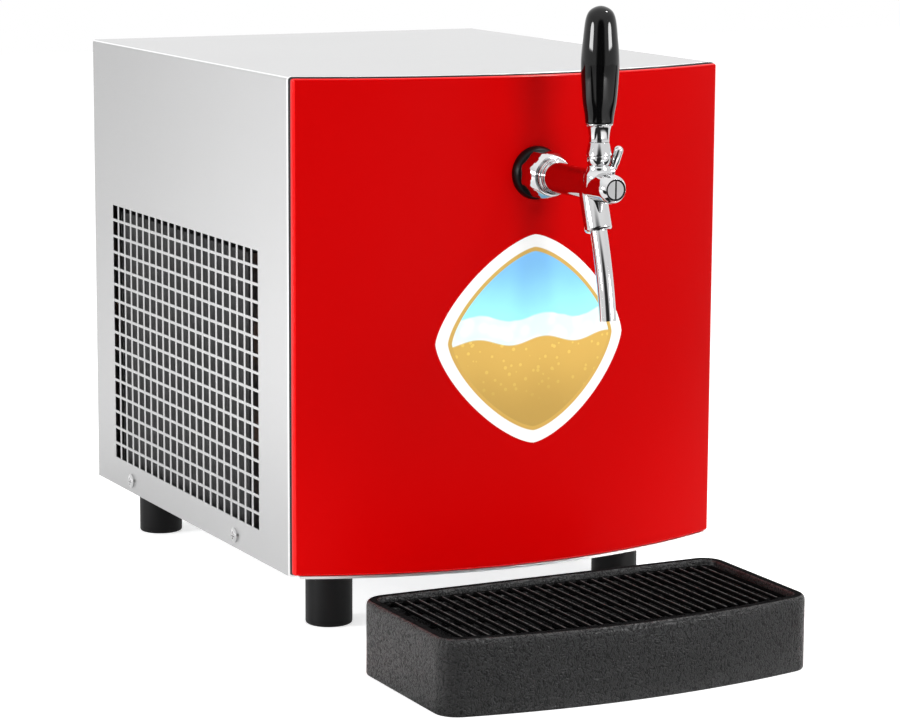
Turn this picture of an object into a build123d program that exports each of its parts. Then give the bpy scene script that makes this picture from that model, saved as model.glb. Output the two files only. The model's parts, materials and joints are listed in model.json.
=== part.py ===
from build123d import *
import math
import os

# Counter-top draft beer dispenser with its loose drip tray, in millimetres.
# X runs to the right, Y to the back, Z up. While it is modelled, y = 0 is the
# front edge of the casing's sides and z = 0 is the counter. Each node is then
# moved so that the origin is the middle of the whole footprint.

# Fits shared by all pieces
overrun = 6.0
fit_gap = 0.3
press_gap = 0.1
running_gap = 0.05

# Casing: one folded stainless sheet, two sides and the top
casing_width = 404.0
casing_depth = 465.0
casing_height = 420.0
front_bow = 45.0
sheet = 0.9
fold_radius = 3.0
front_lip = 4.0
rear_flange = 14.0

# Punched air inlet in the left side
vent_columns = 22
vent_rows = 16
vent_pitch_y = 15.8
vent_pitch_z = 15.25
vent_hole_y = 12.0
vent_hole_z = 12.7
vent_center_y = 245.3
vent_rise = 147.6

# Long slots of the air outlets in the right side and the back
slot_length = 92.0
slot_height = 6.0
slot_pitch_y = 118.0
slot_pitch_z = 16.0
slot_columns = 2
slot_rows = 13
back_slot_rows = 7
back_slot_rise = 104.0

# Front panel, its gasket, the bowed sheet behind it, the base pan and the back panel
panel_thickness = 4.0
panel_edge_radius = 2.2
seam_gap = 4.2
gasket_inset = 0.3
toe_lip_height = 2.2
pan_sheet = 1.5
pan_flange = 26.0

# Feet and screws
foot_height = 50.3
foot_radius = 20.2
foot_edge_radius = 2.0
foot_left_inset = 48.0
foot_right_inset = 76.0
foot_front_y = 35.0
foot_rear_inset = 40.0
foot_bolt_radius = 4.0
foot_bolt_head_radius = 7.0
foot_bolt_head_height = 5.0
foot_recess_depth = 12.0
screw_radius = 2.5
screw_length = 9.0
screw_head_radius = 6.5
screw_head_height = 2.6
screw_slot_width = 1.3
screw_slot_length = 6.6
screw_slot_depth = 1.3
side_screw_y = (127.0, 376.0)
side_screw_height = 11.3
back_screw_head_radius = 4.5
back_screw_head_height = 2.2
back_screw_rise_shares = (0.16, 0.5, 0.84)

# Tap: rosette, shank and coupling nut, measured forward from the front panel
tap_drop = 82.5
rosette_radius = 22.5
rosette_front_radius = 20.2
rosette_thickness = 8.0
rosette_rim = 4.0
shank_radius = 13.0
shank_bore = 5.0
shank_rear = 34.0
nut_across_flats = 37.6
nut_sides = 8
nut_length = 21.7
nut_chamfer = 3.6
nut_shoulder = 6.0
lock_nut_thickness = 9.0
lock_nut_across_flats = 36.0
washer_thickness = 2.0
washer_radius = 21.0

# Tap body: tail, collar rings and barrel
tail_gap = 0.5
tail_flange_length = 3.6
tail_neck_radius = 10.5
collar_radius = 15.2
collar_length = 3.4
collar_step_radius = 13.7
collar_step_length = 3.2
barrel_rear_radius = 12.6
barrel_front_radius = 11.8
barrel_end = 135.0
barrel_end_radius = 9.7
barrel_end_rounding = 5.2
chamber_radius = 7.4
land_radius = 6.3
land_rear = 49.5
land_front = 59.0
tail_bore = 5.5
plug_inner = 127.0
plug_recess = 0.5
plug_slot_width = 1.8
plug_slot_depth = 1.6
plug_ring_depth = 1.8

# Turret on the barrel, its ball joint and the lever
turret_reach = 106.5
turret_radius = 9.5
pivot_rise = 22.5
turret_rise = 16.5
bonnet_radius = 9.6
bonnet_spigot_radius = 6.9
bonnet_spigot_depth = 1.7
lever_ball_radius = 5.5
pivot_pin_radius = 1.5
pivot_pin_inset = 0.6
stem_radius = 3.0
lever_pull = 25.0
lever_push = 12.0
tail_pin_radius = 1.7
tail_tip_radius = 2.6
tail_tip_drop = 19.0
swing_gap = 1.0
bell_gap = 0.3
bell_rim_radius = 10.3
bell_rim_rise = 2.6
bell_rim_width = 1.0
bell_top_radius = 8.2
bell_top_rise = 13.4
ferrule_radius = 8.0
ferrule_waist_radius = 7.7
ferrule_flare_radius = 9.1
ferrule_rim_radius = 11.2
ferrule_length = 15.0
ferrule_rim = 1.5
handle_length = 94.0
handle_foot_radius = 11.4
handle_belly_radius = 15.5
handle_neck_radius = 11.8
handle_crown_radius = 7.8
handle_socket = 42.0
# Heights of the handle's foot curve, belly, shoulder, neck and crown along its length
handle_rise_shares = (0.21, 0.51, 0.75, 0.90, 0.97)
# How far the foot curve and the shoulder swell from the ends towards the belly
handle_swell_shares = (0.63, 0.54)

# Valve plunger inside the barrel
plunger_disc_start = 50.5
plunger_disc_length = 3.5
plunger_rod_radius = 3.0
plunger_head_half = 11.0
plunger_slot_half = 3.4
plunger_slot_floor = 0.2
plunger_flat_drop = 4.6
seal_groove_depth = 1.2
seal_groove_inset = 1.0

# Flow lever on the right of the turret
flow_rise = 12.0
flow_hub_radius = 4.3
flow_hub_length = 5.0
flow_spindle_radius = 2.0
flow_spindle_length = 4.8
flow_stub_radius = 3.2
flow_stub_length = 15.0
flow_stub_rise = 2.0
flow_stub_lean = 20.0

# Spout
spout_start = 95.0
spout_lean = 19.3
sleeve_radius = 10.8
sleeve_length = 38.6
sleeve_edge = 1.2
port_radius = 4.8
spout_radius = 6.9
spout_wall = 1.0
spout_insert = 15.0
spout_length = 73.0
spout_end_lean = 8.0

# Drip tray and its wire grate
tray_width = 333.5
tray_depth = 173.0
tray_height = 61.8
tray_bow = 19.6
tray_corner_radius = 20.0
tray_rim_width = 10.0
tray_ledge_width = 6.0
tray_ledge_drop = 9.0
tray_floor = 3.5
tray_rim_radius = 4.6
tray_offset_x = -30.5
tray_gap = 71.5
grate_wire_radius = 2.2
grate_bar_radius = 1.6
grate_bars = 28
grate_cross_radius = 1.8
grate_cross_shares = (0.2, 0.5, 0.8)
grate_weld = 0.7
grate_margin = 0.9

# Condenser, fan and compressor inside the cabinet
condenser_gap = 6.0
condenser_depth = 44.0
condenser_front_y = 102.0
condenser_rear_gap = 51.0
condenser_base_rise = 22.0
condenser_room = 158.0
condenser_fins_count = 40
fin_thickness = 0.6
end_plate_thickness = 1.2
tube_radius = 4.8
tube_passes = 6
shroud_collar = 30.0
fan_gap = 9.0
fan_margin = 8.0
fan_tip_gap = 5.0
fan_hub_radius = 24.0
fan_hub_length = 22.0
fan_blades_count = 5
fan_blade_thickness = 2.0
fan_blade_width = 62.0
fan_blade_pitch = 24.0
motor_radius = 36.0
motor_length = 52.0
motor_gap = 4.0
motor_shaft_radius = 4.0
bracket_width = 46.0
bracket_thickness = 2.5
bracket_foot = 40.0
compressor_side_gap = 13.1
compressor_rear_gap = 67.0
compressor_radius = 72.0
compressor_height = 172.0
compressor_dome = 34.0
compressor_wall = 8.0
compressor_plate = 3.0
compressor_plate_half_x = 84.0
compressor_plate_half_y = 62.0
grommet_radius = 11.0
grommet_height = 15.0
grommet_inset = 14.0
grommet_bolt_radius = 3.5

# Cold block in its insulation, and the lines
insulation_low = (14.0, 24.0)
insulation_side_gap = 15.1
insulation_rear_gap = 76.0
insulation_lid = 42.0
lid_room = 150.5
insulation_wall = 28.0
line_radius = 4.76
line_wall = 1.0
copper_radius = 4.0
line_bend = 22.0
copper_bend = 18.0
drier_radius = 10.0
drier_length = 74.0
drier_neck = 12.0

# Fittings and controls on the back panel
inlet_x = 128.0
inlet_drop = 110.0
inlet_bore_radius = 4.8
inlet_bore_depth = 16.0
inlet_reach = 22.0
inlet_head_radius = 9.2
inlet_hex = 21.0
inlet_hex_length = 7.0
inlet_thread_radius = 7.6
inlet_thread_length = 15.0
bulkhead_nut_length = 6.0
gland_x = -112.0
gland_rise = 46.0
gland_radius = 11.0
gland_bore = 4.2
gland_reach = 13.0
gland_flange = 5.0
gland_thread_radius = 8.0
gland_thread_length = 13.0
thermostat_x = -44.0
thermostat_drop = 58.0
knob_radius = 18.0
knob_height = 15.0
knob_skirt = 4.0
knob_grip_half = 4.5
knob_shaft_radius = 3.0
knob_shaft_length = 11.0
thermostat_size = (46.0, 34.0, 30.0)
switch_x = -112.0
switch_drop = 58.0
switch_flange = (32.0, 24.0)
switch_flange_thickness = 2.0
switch_body = (28.0, 20.0)
switch_depth = 24.0
switch_wall = 2.0
rocker_tilt = 10.0
rocker_rise = 5.0
rocker_pin_radius = 1.5

# Places worked out from the sizes above
half_width = casing_width / 2
bow_radius = (half_width**2 + front_bow**2) / (2 * front_bow)
bow_center_y = bow_radius - front_bow
casing_low = foot_height
casing_top = foot_height + casing_height
pan_top = casing_low + pan_sheet
compressor_x = half_width - sheet - compressor_side_gap - compressor_plate_half_x
compressor_y = casing_depth - compressor_rear_gap - compressor_plate_half_y
seam_inset = panel_thickness + seam_gap
sheet_front_inset = seam_inset + sheet + fit_gap
sheet_back_inset = sheet_front_inset + sheet
pan_front_inset = sheet_back_inset + fit_gap
wall_inset = sheet + fit_gap
pan_back_inset = 2 * wall_inset
foot_rear_y = casing_depth - foot_rear_inset
vent_center_z = casing_low + vent_rise
back_slot_center_z = casing_low + back_slot_rise
gland_z = casing_low + gland_rise
inlet_z = casing_top - inlet_drop
thermostat_z = casing_top - thermostat_drop
switch_z = casing_top - switch_drop
tap_height = casing_top - tap_drop
tap_y = -front_bow
turret_y = tap_y - turret_reach
pivot_z = tap_height + pivot_rise
turret_top = tap_height + turret_rise
nut_start = rosette_thickness + fit_gap
nut_end = nut_start + nut_length
tail_start = nut_end - nut_shoulder - tail_flange_length
handle_low = pivot_z + bell_top_rise + ferrule_length
tray_back_y = -front_bow - tray_gap
tray_front_y = tray_back_y - tray_depth
rear_y = casing_depth + inlet_reach
to_origin = Pos(0, -(tray_front_y + rear_y) / 2, 0)

bottom_up = (Align.CENTER, Align.CENTER, Align.MIN)
corner_up = (Align.MIN, Align.MIN, Align.MIN)


def block(low, high):
    """Block between two opposite corners."""
    size = [b - a for a, b in zip(low, high)]
    return Pos(*low) * Box(*size, align=corner_up)


def rod(radius, length):
    """Cylinder that stands on the XY plane."""
    return Cylinder(radius, length, align=bottom_up)


def turned(points):
    """Solid turned about Z from an outline of (radius, height) points."""
    return revolve(Plane.XZ * make_face(Polyline(*points, close=True)), Axis.Z)


def prism(sides, across_flats, length):
    """Regular prism that stands on the XY plane with a flat on top."""
    corner = across_flats / 2 / math.cos(math.pi / sides)
    outline = RegularPolygon(corner, sides, rotation=180 / sides)
    return extrude(outline, length)


def facing(place, direction):
    """Location whose Z axis points along a direction, with X kept level."""
    level = (0, 1, 0) if abs(direction[0]) > abs(direction[1]) else (1, 0, 0)
    return Plane(origin=place, x_dir=level, z_dir=direction).location


def swept(path, radius):
    """Round bar along a path."""
    return sweep(Plane(origin=path @ 0, z_dir=path % 0) * Circle(radius), path=path)


def pipe(path, radius, bore):
    """Round tube along a path."""
    section = Plane(origin=path @ 0, z_dir=path % 0) * (Circle(radius) - Circle(bore))
    return sweep(section, path=path)


def save(node, shape):
    """Write one node, moved to the origin of the footprint."""
    export_step(to_origin * shape, f"parts/{node}.step")


# Cabinet


def cabinet_plan(side_inset, front_inset, back_inset):
    """Plan of the cabinet drawn in from its outline: bowed front, square back."""
    half = half_width - side_inset
    radius = bow_radius - front_inset
    corner_y = bow_center_y - math.sqrt(radius**2 - half**2)
    back_y = casing_depth - back_inset
    front = ThreePointArc((-half, corner_y), (0, bow_center_y - radius), (half, corner_y))
    rest = Polyline((half, corner_y), (half, back_y), (-half, back_y), (-half, corner_y))
    return make_face(front.edges() + rest.edges())


def cabinet_arch(inset, low, high):
    """Upright block of the casing's front view, drawn in, with its folded top corners."""
    width = casing_width - 2 * inset
    radius = max(fold_radius - inset, sheet)
    depth = casing_depth + front_bow + 2 * overrun
    body = Pos(0, -front_bow - overrun, low) * Box(
        width, depth, high - low, align=(Align.CENTER, Align.MIN, Align.MIN)
    )
    folds = body.edges().filter_by(Axis.Y).group_by(Axis.Z)[-1]
    return fillet(folds, radius)


def bowed_band(front_inset, back_inset, low, high):
    """Upright strip of the cabinet between two depths behind its bowed front."""
    solid = extrude(cabinet_plan(0, front_inset, 0), high - low)
    core = extrude(cabinet_plan(-overrun, back_inset, -overrun), high - low)
    return Pos(0, 0, low) * (solid - core)


def vent_plate(side, columns, rows, pitch, hole):
    """Stretch of side sheet with its rows of openings, pushed inward from one holed face."""
    plane = Plane(
        origin=(side * half_width, vent_center_y, vent_center_z), x_dir=(0, 1, 0), z_dir=(-side, 0, 0)
    )
    outline = Rectangle(columns * pitch[0], rows * pitch[1]).face().outer_wire()
    opening = Rectangle(*hole).face().outer_wire()
    holes = [place * opening for place in GridLocations(*pitch, columns, rows)]
    return extrude(plane * Face(outline, holes), sheet)


def vent_window(side, columns, rows, pitch):
    """Block that clears the casing's side for a vent plate."""
    size = (2 * sheet + overrun, columns * pitch[0], rows * pitch[1])
    return Pos(side * half_width, vent_center_y, vent_center_z) * Box(*size)


def tap_hole(radius, start, end):
    """Round bar on the tap's axis between two distances in front of the panel."""
    return facing((0, tap_y - start, tap_height), (0, -1, 0)) * rod(radius, end - start)


def side_screw_places():
    """Place and outward direction of each screw in the casing's sides."""
    height = casing_low + side_screw_height
    return [((s * half_width, y, height), (s, 0, 0)) for s in (-1, 1) for y in side_screw_y]


def back_screw_places():
    """Place of each screw along the two upright edges of the back panel."""
    x = half_width - sheet - rear_flange / 2
    heights = [casing_low + share * casing_height for share in back_screw_rise_shares]
    return [(s * x, casing_depth, z) for s in (-1, 1) for z in heights]


def make_casing():
    outer = cabinet_arch(0, casing_low, casing_top)
    inner = cabinet_arch(sheet, casing_low - overrun, casing_top - sheet)
    plan = Pos(0, 0, casing_low) * extrude(cabinet_plan(0, seam_inset, 0), casing_height)
    wrap = (outer - inner) & plan
    lip_opening = cabinet_arch(front_lip, casing_low - overrun, casing_top - front_lip)
    lip = (outer - lip_opening) & bowed_band(seam_inset, seam_inset + sheet, casing_low, casing_top)
    flange_y = casing_depth - sheet - fit_gap
    flange_opening = cabinet_arch(
        sheet + rear_flange, casing_low - overrun, casing_top - sheet - rear_flange
    )
    flange_zone = block(
        (-half_width, flange_y - sheet, casing_low), (half_width, flange_y, casing_top)
    )
    flange = (outer - flange_opening) & flange_zone
    body = wrap + lip + flange
    for place, outward in side_screw_places():
        body -= facing(place, outward) * Cylinder(screw_radius + press_gap, overrun)
    for place in back_screw_places():
        body -= facing(place, (0, 1, 0)) * Cylinder(screw_radius + press_gap, 2 * overrun)
    inlet = (vent_columns, vent_rows, (vent_pitch_y, vent_pitch_z))
    outlet = (slot_columns, slot_rows, (slot_pitch_y, slot_pitch_z))
    body -= vent_window(1, *outlet)
    body += vent_plate(1, *outlet, (slot_length, slot_height))
    body -= vent_window(-1, *inlet)
    return body + vent_plate(-1, *inlet, (vent_hole_y, vent_hole_z))


def make_front_panel():
    low = casing_low + toe_lip_height + fit_gap
    panel = bowed_band(0, panel_thickness, low, casing_top) & cabinet_arch(0, low, casing_top)
    face = panel.faces().sort_by(Axis.Y)[0]
    panel = fillet(face.edges(), panel_edge_radius)
    return panel - tap_hole(shank_radius + fit_gap, -panel_thickness - overrun, overrun)


def make_panel_gasket():
    low = casing_low + toe_lip_height + fit_gap
    front = panel_thickness + press_gap
    strip = bowed_band(front, seam_inset - press_gap, low, casing_top)
    outer = cabinet_arch(gasket_inset, low, casing_top - gasket_inset)
    opening = cabinet_arch(front_lip, low - overrun, casing_top - front_lip)
    return strip & (outer - opening)


def make_front_sheet():
    zone = cabinet_arch(wall_inset, casing_low, casing_top - wall_inset)
    front = bowed_band(sheet_front_inset, sheet_back_inset, casing_low, casing_top) & zone
    half = half_width - front_lip - fit_gap
    toe_top = casing_low + toe_lip_height
    toe_zone = block((-half, -front_bow - overrun, casing_low), (half, casing_depth, toe_top))
    front += bowed_band(0, sheet_back_inset, casing_low, toe_top) & toe_zone
    return front - tap_hole(shank_radius + fit_gap, -sheet_back_inset - overrun, overrun)


def make_base_pan():
    insets = (wall_inset, pan_front_inset, pan_back_inset)
    inner = [inset + pan_sheet for inset in insets]
    pan = Pos(0, 0, casing_low) * extrude(cabinet_plan(*insets), pan_flange)
    pan -= Pos(0, 0, pan_top) * extrude(cabinet_plan(*inner), pan_flange)
    for place, outward in side_screw_places():
        pan -= facing(place, outward) * Cylinder(screw_radius + press_gap, 2 * overrun)
    for x, y in foot_places():
        pan -= Pos(x, y, casing_low) * Cylinder(foot_bolt_radius + press_gap, overrun)
    return pan


def make_back_panel():
    zone = block(
        (-half_width, casing_depth - sheet, casing_low), (half_width, casing_depth, casing_top)
    )
    panel = cabinet_arch(wall_inset, casing_low, casing_top - wall_inset) & zone
    plane = Plane(origin=(compressor_x, casing_depth, back_slot_center_z), x_dir=(1, 0, 0), z_dir=(0, 1, 0))
    slot = Rectangle(slot_length, slot_height)
    slots = Sketch() + GridLocations(0, slot_pitch_z, 1, back_slot_rows) * slot
    panel -= extrude(plane * slots, overrun, both=True)
    holes = [
        (inlet_x, inlet_z, inlet_thread_radius),
        (gland_x, gland_z, gland_thread_radius),
        (thermostat_x, thermostat_z, knob_shaft_radius),
    ]
    for x, z, radius in holes:
        panel -= facing((x, casing_depth, z), (0, 1, 0)) * Cylinder(radius + fit_gap, overrun)
    for place in back_screw_places():
        panel -= facing(place, (0, 1, 0)) * Cylinder(screw_radius + press_gap, overrun)
    window = Box(switch_body[0] + 2 * fit_gap, overrun, switch_body[1] + 2 * fit_gap)
    return panel - Pos(switch_x, casing_depth, switch_z) * window


def foot_places():
    """Centre of each foot, front left, front right, rear left and rear right."""
    sides = (foot_left_inset - half_width, half_width - foot_right_inset)
    return [(x, y) for y in (foot_front_y, foot_rear_y) for x in sides]


def make_foot():
    foot = fillet(rod(foot_radius, foot_height).edges().group_by(Axis.Z)[0], foot_edge_radius)
    foot -= rod(foot_bolt_head_radius + fit_gap, foot_recess_depth)
    return foot - rod(foot_bolt_radius + press_gap, foot_height + overrun)


def make_foot_bolts():
    head = Pos(0, 0, foot_recess_depth - foot_bolt_head_height)
    bolt = head * prism(6, 2 * foot_bolt_head_radius * math.cos(math.pi / 6), foot_bolt_head_height)
    bolt += Pos(0, 0, foot_recess_depth) * rod(foot_bolt_radius, pan_top - foot_recess_depth)
    return Compound([Pos(x, y, 0) * bolt for x, y in foot_places()])


def screw(head_radius, head_height, length):
    """Domed screw whose head seats on the XY plane and whose shank points down."""
    ball = (head_radius**2 + head_height**2) / (2 * head_height)
    dome = Pos(0, 0, head_height - ball) * Sphere(ball) & rod(head_radius, head_height)
    cross = Box(screw_slot_length, screw_slot_width, 2 * screw_slot_depth)
    cross += Box(screw_slot_width, screw_slot_length, 2 * screw_slot_depth)
    return dome - Pos(0, 0, head_height) * cross + Pos(0, 0, -length) * rod(screw_radius, length)


def make_casing_screws():
    one = screw(screw_head_radius, screw_head_height, screw_length)
    return Compound([facing(place, outward) * one for place, outward in side_screw_places()])


def make_back_screws():
    one = screw(back_screw_head_radius, back_screw_head_height, screw_length)
    return Compound([facing(place, (0, 1, 0)) * one for place in back_screw_places()])


# Tap


def tap_axis():
    """Location on the panel's crown whose Z axis runs forward along the barrel."""
    return facing((0, tap_y, tap_height), (0, -1, 0))


def make_rosette():
    ring = turned([
        (shank_radius + fit_gap, -overrun),
        (rosette_radius, -overrun),
        (rosette_radius, rosette_rim),
        (rosette_front_radius, rosette_thickness),
        (shank_radius + fit_gap, rosette_thickness),
    ])
    panel_front = Pos(0, bow_center_y, casing_low) * rod(bow_radius, casing_height)
    return tap_axis() * ring - panel_front


def make_tap_shank():
    front = tail_start - tail_gap
    tube = rod(shank_radius, front + shank_rear) - rod(shank_bore, front + shank_rear)
    return tap_axis() * Pos(0, 0, -shank_rear) * tube


washer_front = -sheet_back_inset - press_gap - washer_radius**2 / (2 * (bow_radius - sheet_back_inset))


def make_shank_washer():
    start = washer_front - washer_thickness
    ring = rod(washer_radius, washer_thickness) - rod(shank_radius + fit_gap, washer_thickness)
    return tap_axis() * Pos(0, 0, start) * ring


def make_shank_lock_nut():
    start = washer_front - washer_thickness - lock_nut_thickness
    nut = prism(6, lock_nut_across_flats, lock_nut_thickness)
    nut -= rod(shank_radius + press_gap, lock_nut_thickness)
    return tap_axis() * Pos(0, 0, start) * nut


def make_coupling_nut():
    corner = nut_across_flats / 2 / math.cos(math.pi / nut_sides)
    edge = corner - nut_chamfer
    envelope = turned([
        (0, 0),
        (edge + nut_chamfer / 2, 0),
        (corner, nut_chamfer / 2),
        (corner, nut_length - nut_chamfer * 2),
        (edge, nut_length),
        (0, nut_length),
    ])
    nut = prism(nut_sides, nut_across_flats, nut_length) & envelope
    nut -= rod(shank_radius + press_gap, nut_length - nut_shoulder)
    nut -= rod(tail_neck_radius + press_gap, nut_length)
    return tap_axis() * Pos(0, 0, nut_start) * nut


def turret_slot(half_x, pin_radius, low, high, gap):
    """Wedge that a pin on the lever sweeps, between two rises from its pivot."""
    def reach(rise, angle):
        slope = math.radians(angle)
        return abs(rise) * math.tan(slope) + pin_radius / math.cos(slope) + gap

    forward, back = (lever_pull, lever_push) if high > 0 else (lever_push, lever_pull)
    outline = Polyline(
        (-reach(low, forward), low), (-reach(high, forward), high),
        (reach(high, back), high), (reach(low, back), low), close=True,
    )
    plane = Plane(origin=(0, turret_y, pivot_z), x_dir=(0, 1, 0), z_dir=(1, 0, 0))
    return extrude(plane * make_face(outline), half_x, both=True)


def spout_axis():
    """Location on the barrel's axis whose Z axis runs down along the spout's sleeve."""
    lean = math.radians(spout_lean)
    place = (0, tap_y - spout_start, tap_height)
    return facing(place, (0, -math.sin(lean), -math.cos(lean)))


def make_tap_body():
    collar_end = nut_end + fit_gap + collar_length
    step_end = collar_end + collar_step_length
    rounding_start = barrel_end - barrel_end_rounding
    outline = Polyline(
        (barrel_end_radius, barrel_end), (0, barrel_end), (0, tail_start),
        (shank_radius - press_gap, tail_start),
        (shank_radius - press_gap, tail_start + tail_flange_length),
        (tail_neck_radius, tail_start + tail_flange_length),
        (tail_neck_radius, nut_end + fit_gap), (collar_radius, nut_end + fit_gap),
        (collar_radius, collar_end), (collar_step_radius, collar_end + fit_gap),
        (collar_step_radius, step_end), (barrel_rear_radius, step_end + fit_gap),
        (barrel_front_radius, rounding_start),
    )
    nose = TangentArc(
        (barrel_front_radius, rounding_start), (barrel_end_radius, barrel_end), tangent=(0, 1)
    )
    barrel = revolve(Plane.XZ * make_face(outline.edges() + nose.edges()), Axis.Z)
    body = tap_axis() * barrel
    body += Pos(0, turret_y, tap_height) * rod(turret_radius, turret_rise)
    sleeve = rod(sleeve_radius, sleeve_length)
    sleeve = chamfer(sleeve.edges().group_by(Axis.Z)[-1], sleeve_edge)
    body += spout_axis() * sleeve
    body -= tap_hole(tail_bore, tail_start - overrun, barrel_end)
    body -= tap_hole(chamber_radius, nut_end, land_rear)
    body -= tap_hole(land_radius, land_rear - overrun, land_front + overrun)
    body -= tap_hole(chamber_radius, land_front, barrel_end + overrun)
    body -= tap_hole(barrel_end_radius, barrel_end - plug_ring_depth, barrel_end + overrun)
    socket_depth = bonnet_spigot_depth + fit_gap
    body -= Pos(0, turret_y, turret_top - socket_depth) * rod(
        bonnet_spigot_radius + press_gap, socket_depth + overrun
    )
    slot_low = tap_height - pivot_z
    slot_high = turret_top - pivot_z
    body -= turret_slot(tail_tip_radius + fit_gap, tail_pin_radius, slot_low, slot_high, swing_gap)
    body -= flow_axis() * Pos(0, 0, -flow_spindle_length - fit_gap) * rod(
        flow_spindle_radius + running_gap, flow_spindle_length + overrun
    )
    body -= spout_axis() * rod(port_radius, sleeve_length)
    tube_seat = spout_axis() * Pos(0, 0, sleeve_length - spout_insert)
    return body - tube_seat * rod(spout_radius + press_gap, spout_insert + overrun)


def make_end_plug():
    length = barrel_end - plug_recess - plug_inner
    plug = rod(chamber_radius - press_gap, length)
    slot = Box(2 * chamber_radius, plug_slot_width, 2 * plug_slot_depth)
    return tap_axis() * Pos(0, 0, plug_inner) * (plug - Pos(0, 0, length) * slot)


def make_end_plug_seal():
    depth = plug_ring_depth - plug_recess / 2
    ring = rod(barrel_end_radius - press_gap, depth) - rod(chamber_radius + press_gap, depth)
    return tap_axis() * Pos(0, 0, barrel_end - plug_ring_depth) * ring


def make_spout():
    turn = math.radians(spout_lean - spout_end_lean)
    lean = math.radians(spout_lean)
    start = spout_axis() * Pos(0, 0, sleeve_length - spout_insert)
    straight = Line((0, 0), (0, spout_insert))
    bend_radius = spout_length / turn
    middle = (bend_radius * (math.cos(turn / 2) - 1), spout_insert + bend_radius * math.sin(turn / 2))
    end = (bend_radius * (math.cos(turn) - 1), spout_insert + bend_radius * math.sin(turn))
    bend = ThreePointArc((0, spout_insert), middle, end)
    along = (0, -math.sin(lean), -math.cos(lean))
    forward = (0, -math.cos(lean), math.sin(lean))
    plane = Plane(origin=start.position, x_dir=forward, z_dir=Vector(*forward).cross(Vector(*along)))
    path = Wire([plane.location * edge for edge in straight.edges() + bend.edges()])
    return pipe(path, spout_radius, spout_radius - spout_wall)


# Lever and valve


def on_pivot(rise):
    """Location above the lever's pivot."""
    return Pos(0, turret_y, pivot_z + rise)


def pivot_bar(radius, length):
    """Level bar on the lever's pivot axis."""
    return on_pivot(0) * Rot(0, 90, 0) * Cylinder(radius, length)


def make_bonnet():
    foot_rise = turret_top - pivot_z
    dome = Sphere(bonnet_radius) - Pos(0, 0, foot_rise) * Cylinder(
        bonnet_radius, bonnet_radius, align=(Align.CENTER, Align.CENTER, Align.MAX)
    )
    spigot = Pos(0, 0, foot_rise - bonnet_spigot_depth) * rod(bonnet_spigot_radius, bonnet_spigot_depth)
    bore = lever_ball_radius + running_gap
    cavity = Sphere(bore) + Cylinder(
        bore, bonnet_radius, align=(Align.CENTER, Align.CENTER, Align.MAX)
    )
    bonnet = on_pivot(0) * (dome + spigot - cavity)
    bonnet -= turret_slot(stem_radius + fit_gap, stem_radius, 0, bonnet_radius + overrun, fit_gap)
    return bonnet - pivot_bar(pivot_pin_radius + running_gap, 2 * bonnet_radius)


def make_pivot_pin():
    return pivot_bar(pivot_pin_radius, 2 * (bonnet_radius - pivot_pin_inset))


def make_lever_stem():
    top = handle_low - pivot_z + handle_socket - fit_gap
    stem = Sphere(lever_ball_radius) + rod(stem_radius, top)
    stem += Pos(0, 0, -tail_tip_drop) * rod(tail_pin_radius, tail_tip_drop)
    stem += Pos(0, 0, -tail_tip_drop) * Sphere(tail_tip_radius)
    return on_pivot(0) * stem - pivot_bar(pivot_pin_radius + running_gap, 2 * bonnet_radius)


def make_lever_bell():
    bell = turned([
        (0, bell_rim_rise),
        (bell_rim_radius, bell_rim_rise),
        (bell_rim_radius, bell_rim_rise + bell_rim_width),
        (bell_top_radius, bell_top_rise),
        (0, bell_top_rise),
    ])
    bell -= Sphere(bonnet_radius + bell_gap)
    return on_pivot(0) * (bell - rod(stem_radius + press_gap, bell_top_rise))


def make_lever_ferrule():
    outline = Polyline(
        (ferrule_flare_radius, ferrule_length - 2 * ferrule_rim),
        (ferrule_rim_radius, ferrule_length - ferrule_rim),
        (ferrule_rim_radius, ferrule_length),
        (stem_radius + press_gap, ferrule_length),
        (stem_radius + press_gap, 0),
        (ferrule_radius, 0),
    )
    waist = Spline(
        (ferrule_radius, 0), (ferrule_waist_radius, ferrule_length / 4),
        (ferrule_flare_radius, ferrule_length - 2 * ferrule_rim),
    )
    ferrule = revolve(Plane.XZ * make_face(outline.edges() + waist.edges()), Axis.Z)
    return on_pivot(bell_top_rise) * ferrule


def make_handle():
    rises = [share * handle_length for share in handle_rise_shares]
    foot_swell = handle_foot_radius + handle_swell_shares[0] * (handle_belly_radius - handle_foot_radius)
    shoulder = handle_neck_radius + handle_swell_shares[1] * (handle_belly_radius - handle_neck_radius)
    side = Spline(
        (handle_foot_radius, 0), (foot_swell, rises[0]), (handle_belly_radius, rises[1]),
        (shoulder, rises[2]), (handle_neck_radius, rises[3]), (handle_crown_radius, rises[4]),
        (0, handle_length), tangents=[(0, 1), (-1, 0)], tangent_scalars=[1, 1],
    )
    rest = Polyline((0, handle_length), (0, 0), (handle_foot_radius, 0))
    grip = revolve(Plane.XZ * make_face(side.edges() + rest.edges()), Axis.Z)
    return Pos(0, turret_y, handle_low) * (grip - rod(stem_radius + press_gap, handle_socket))


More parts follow.
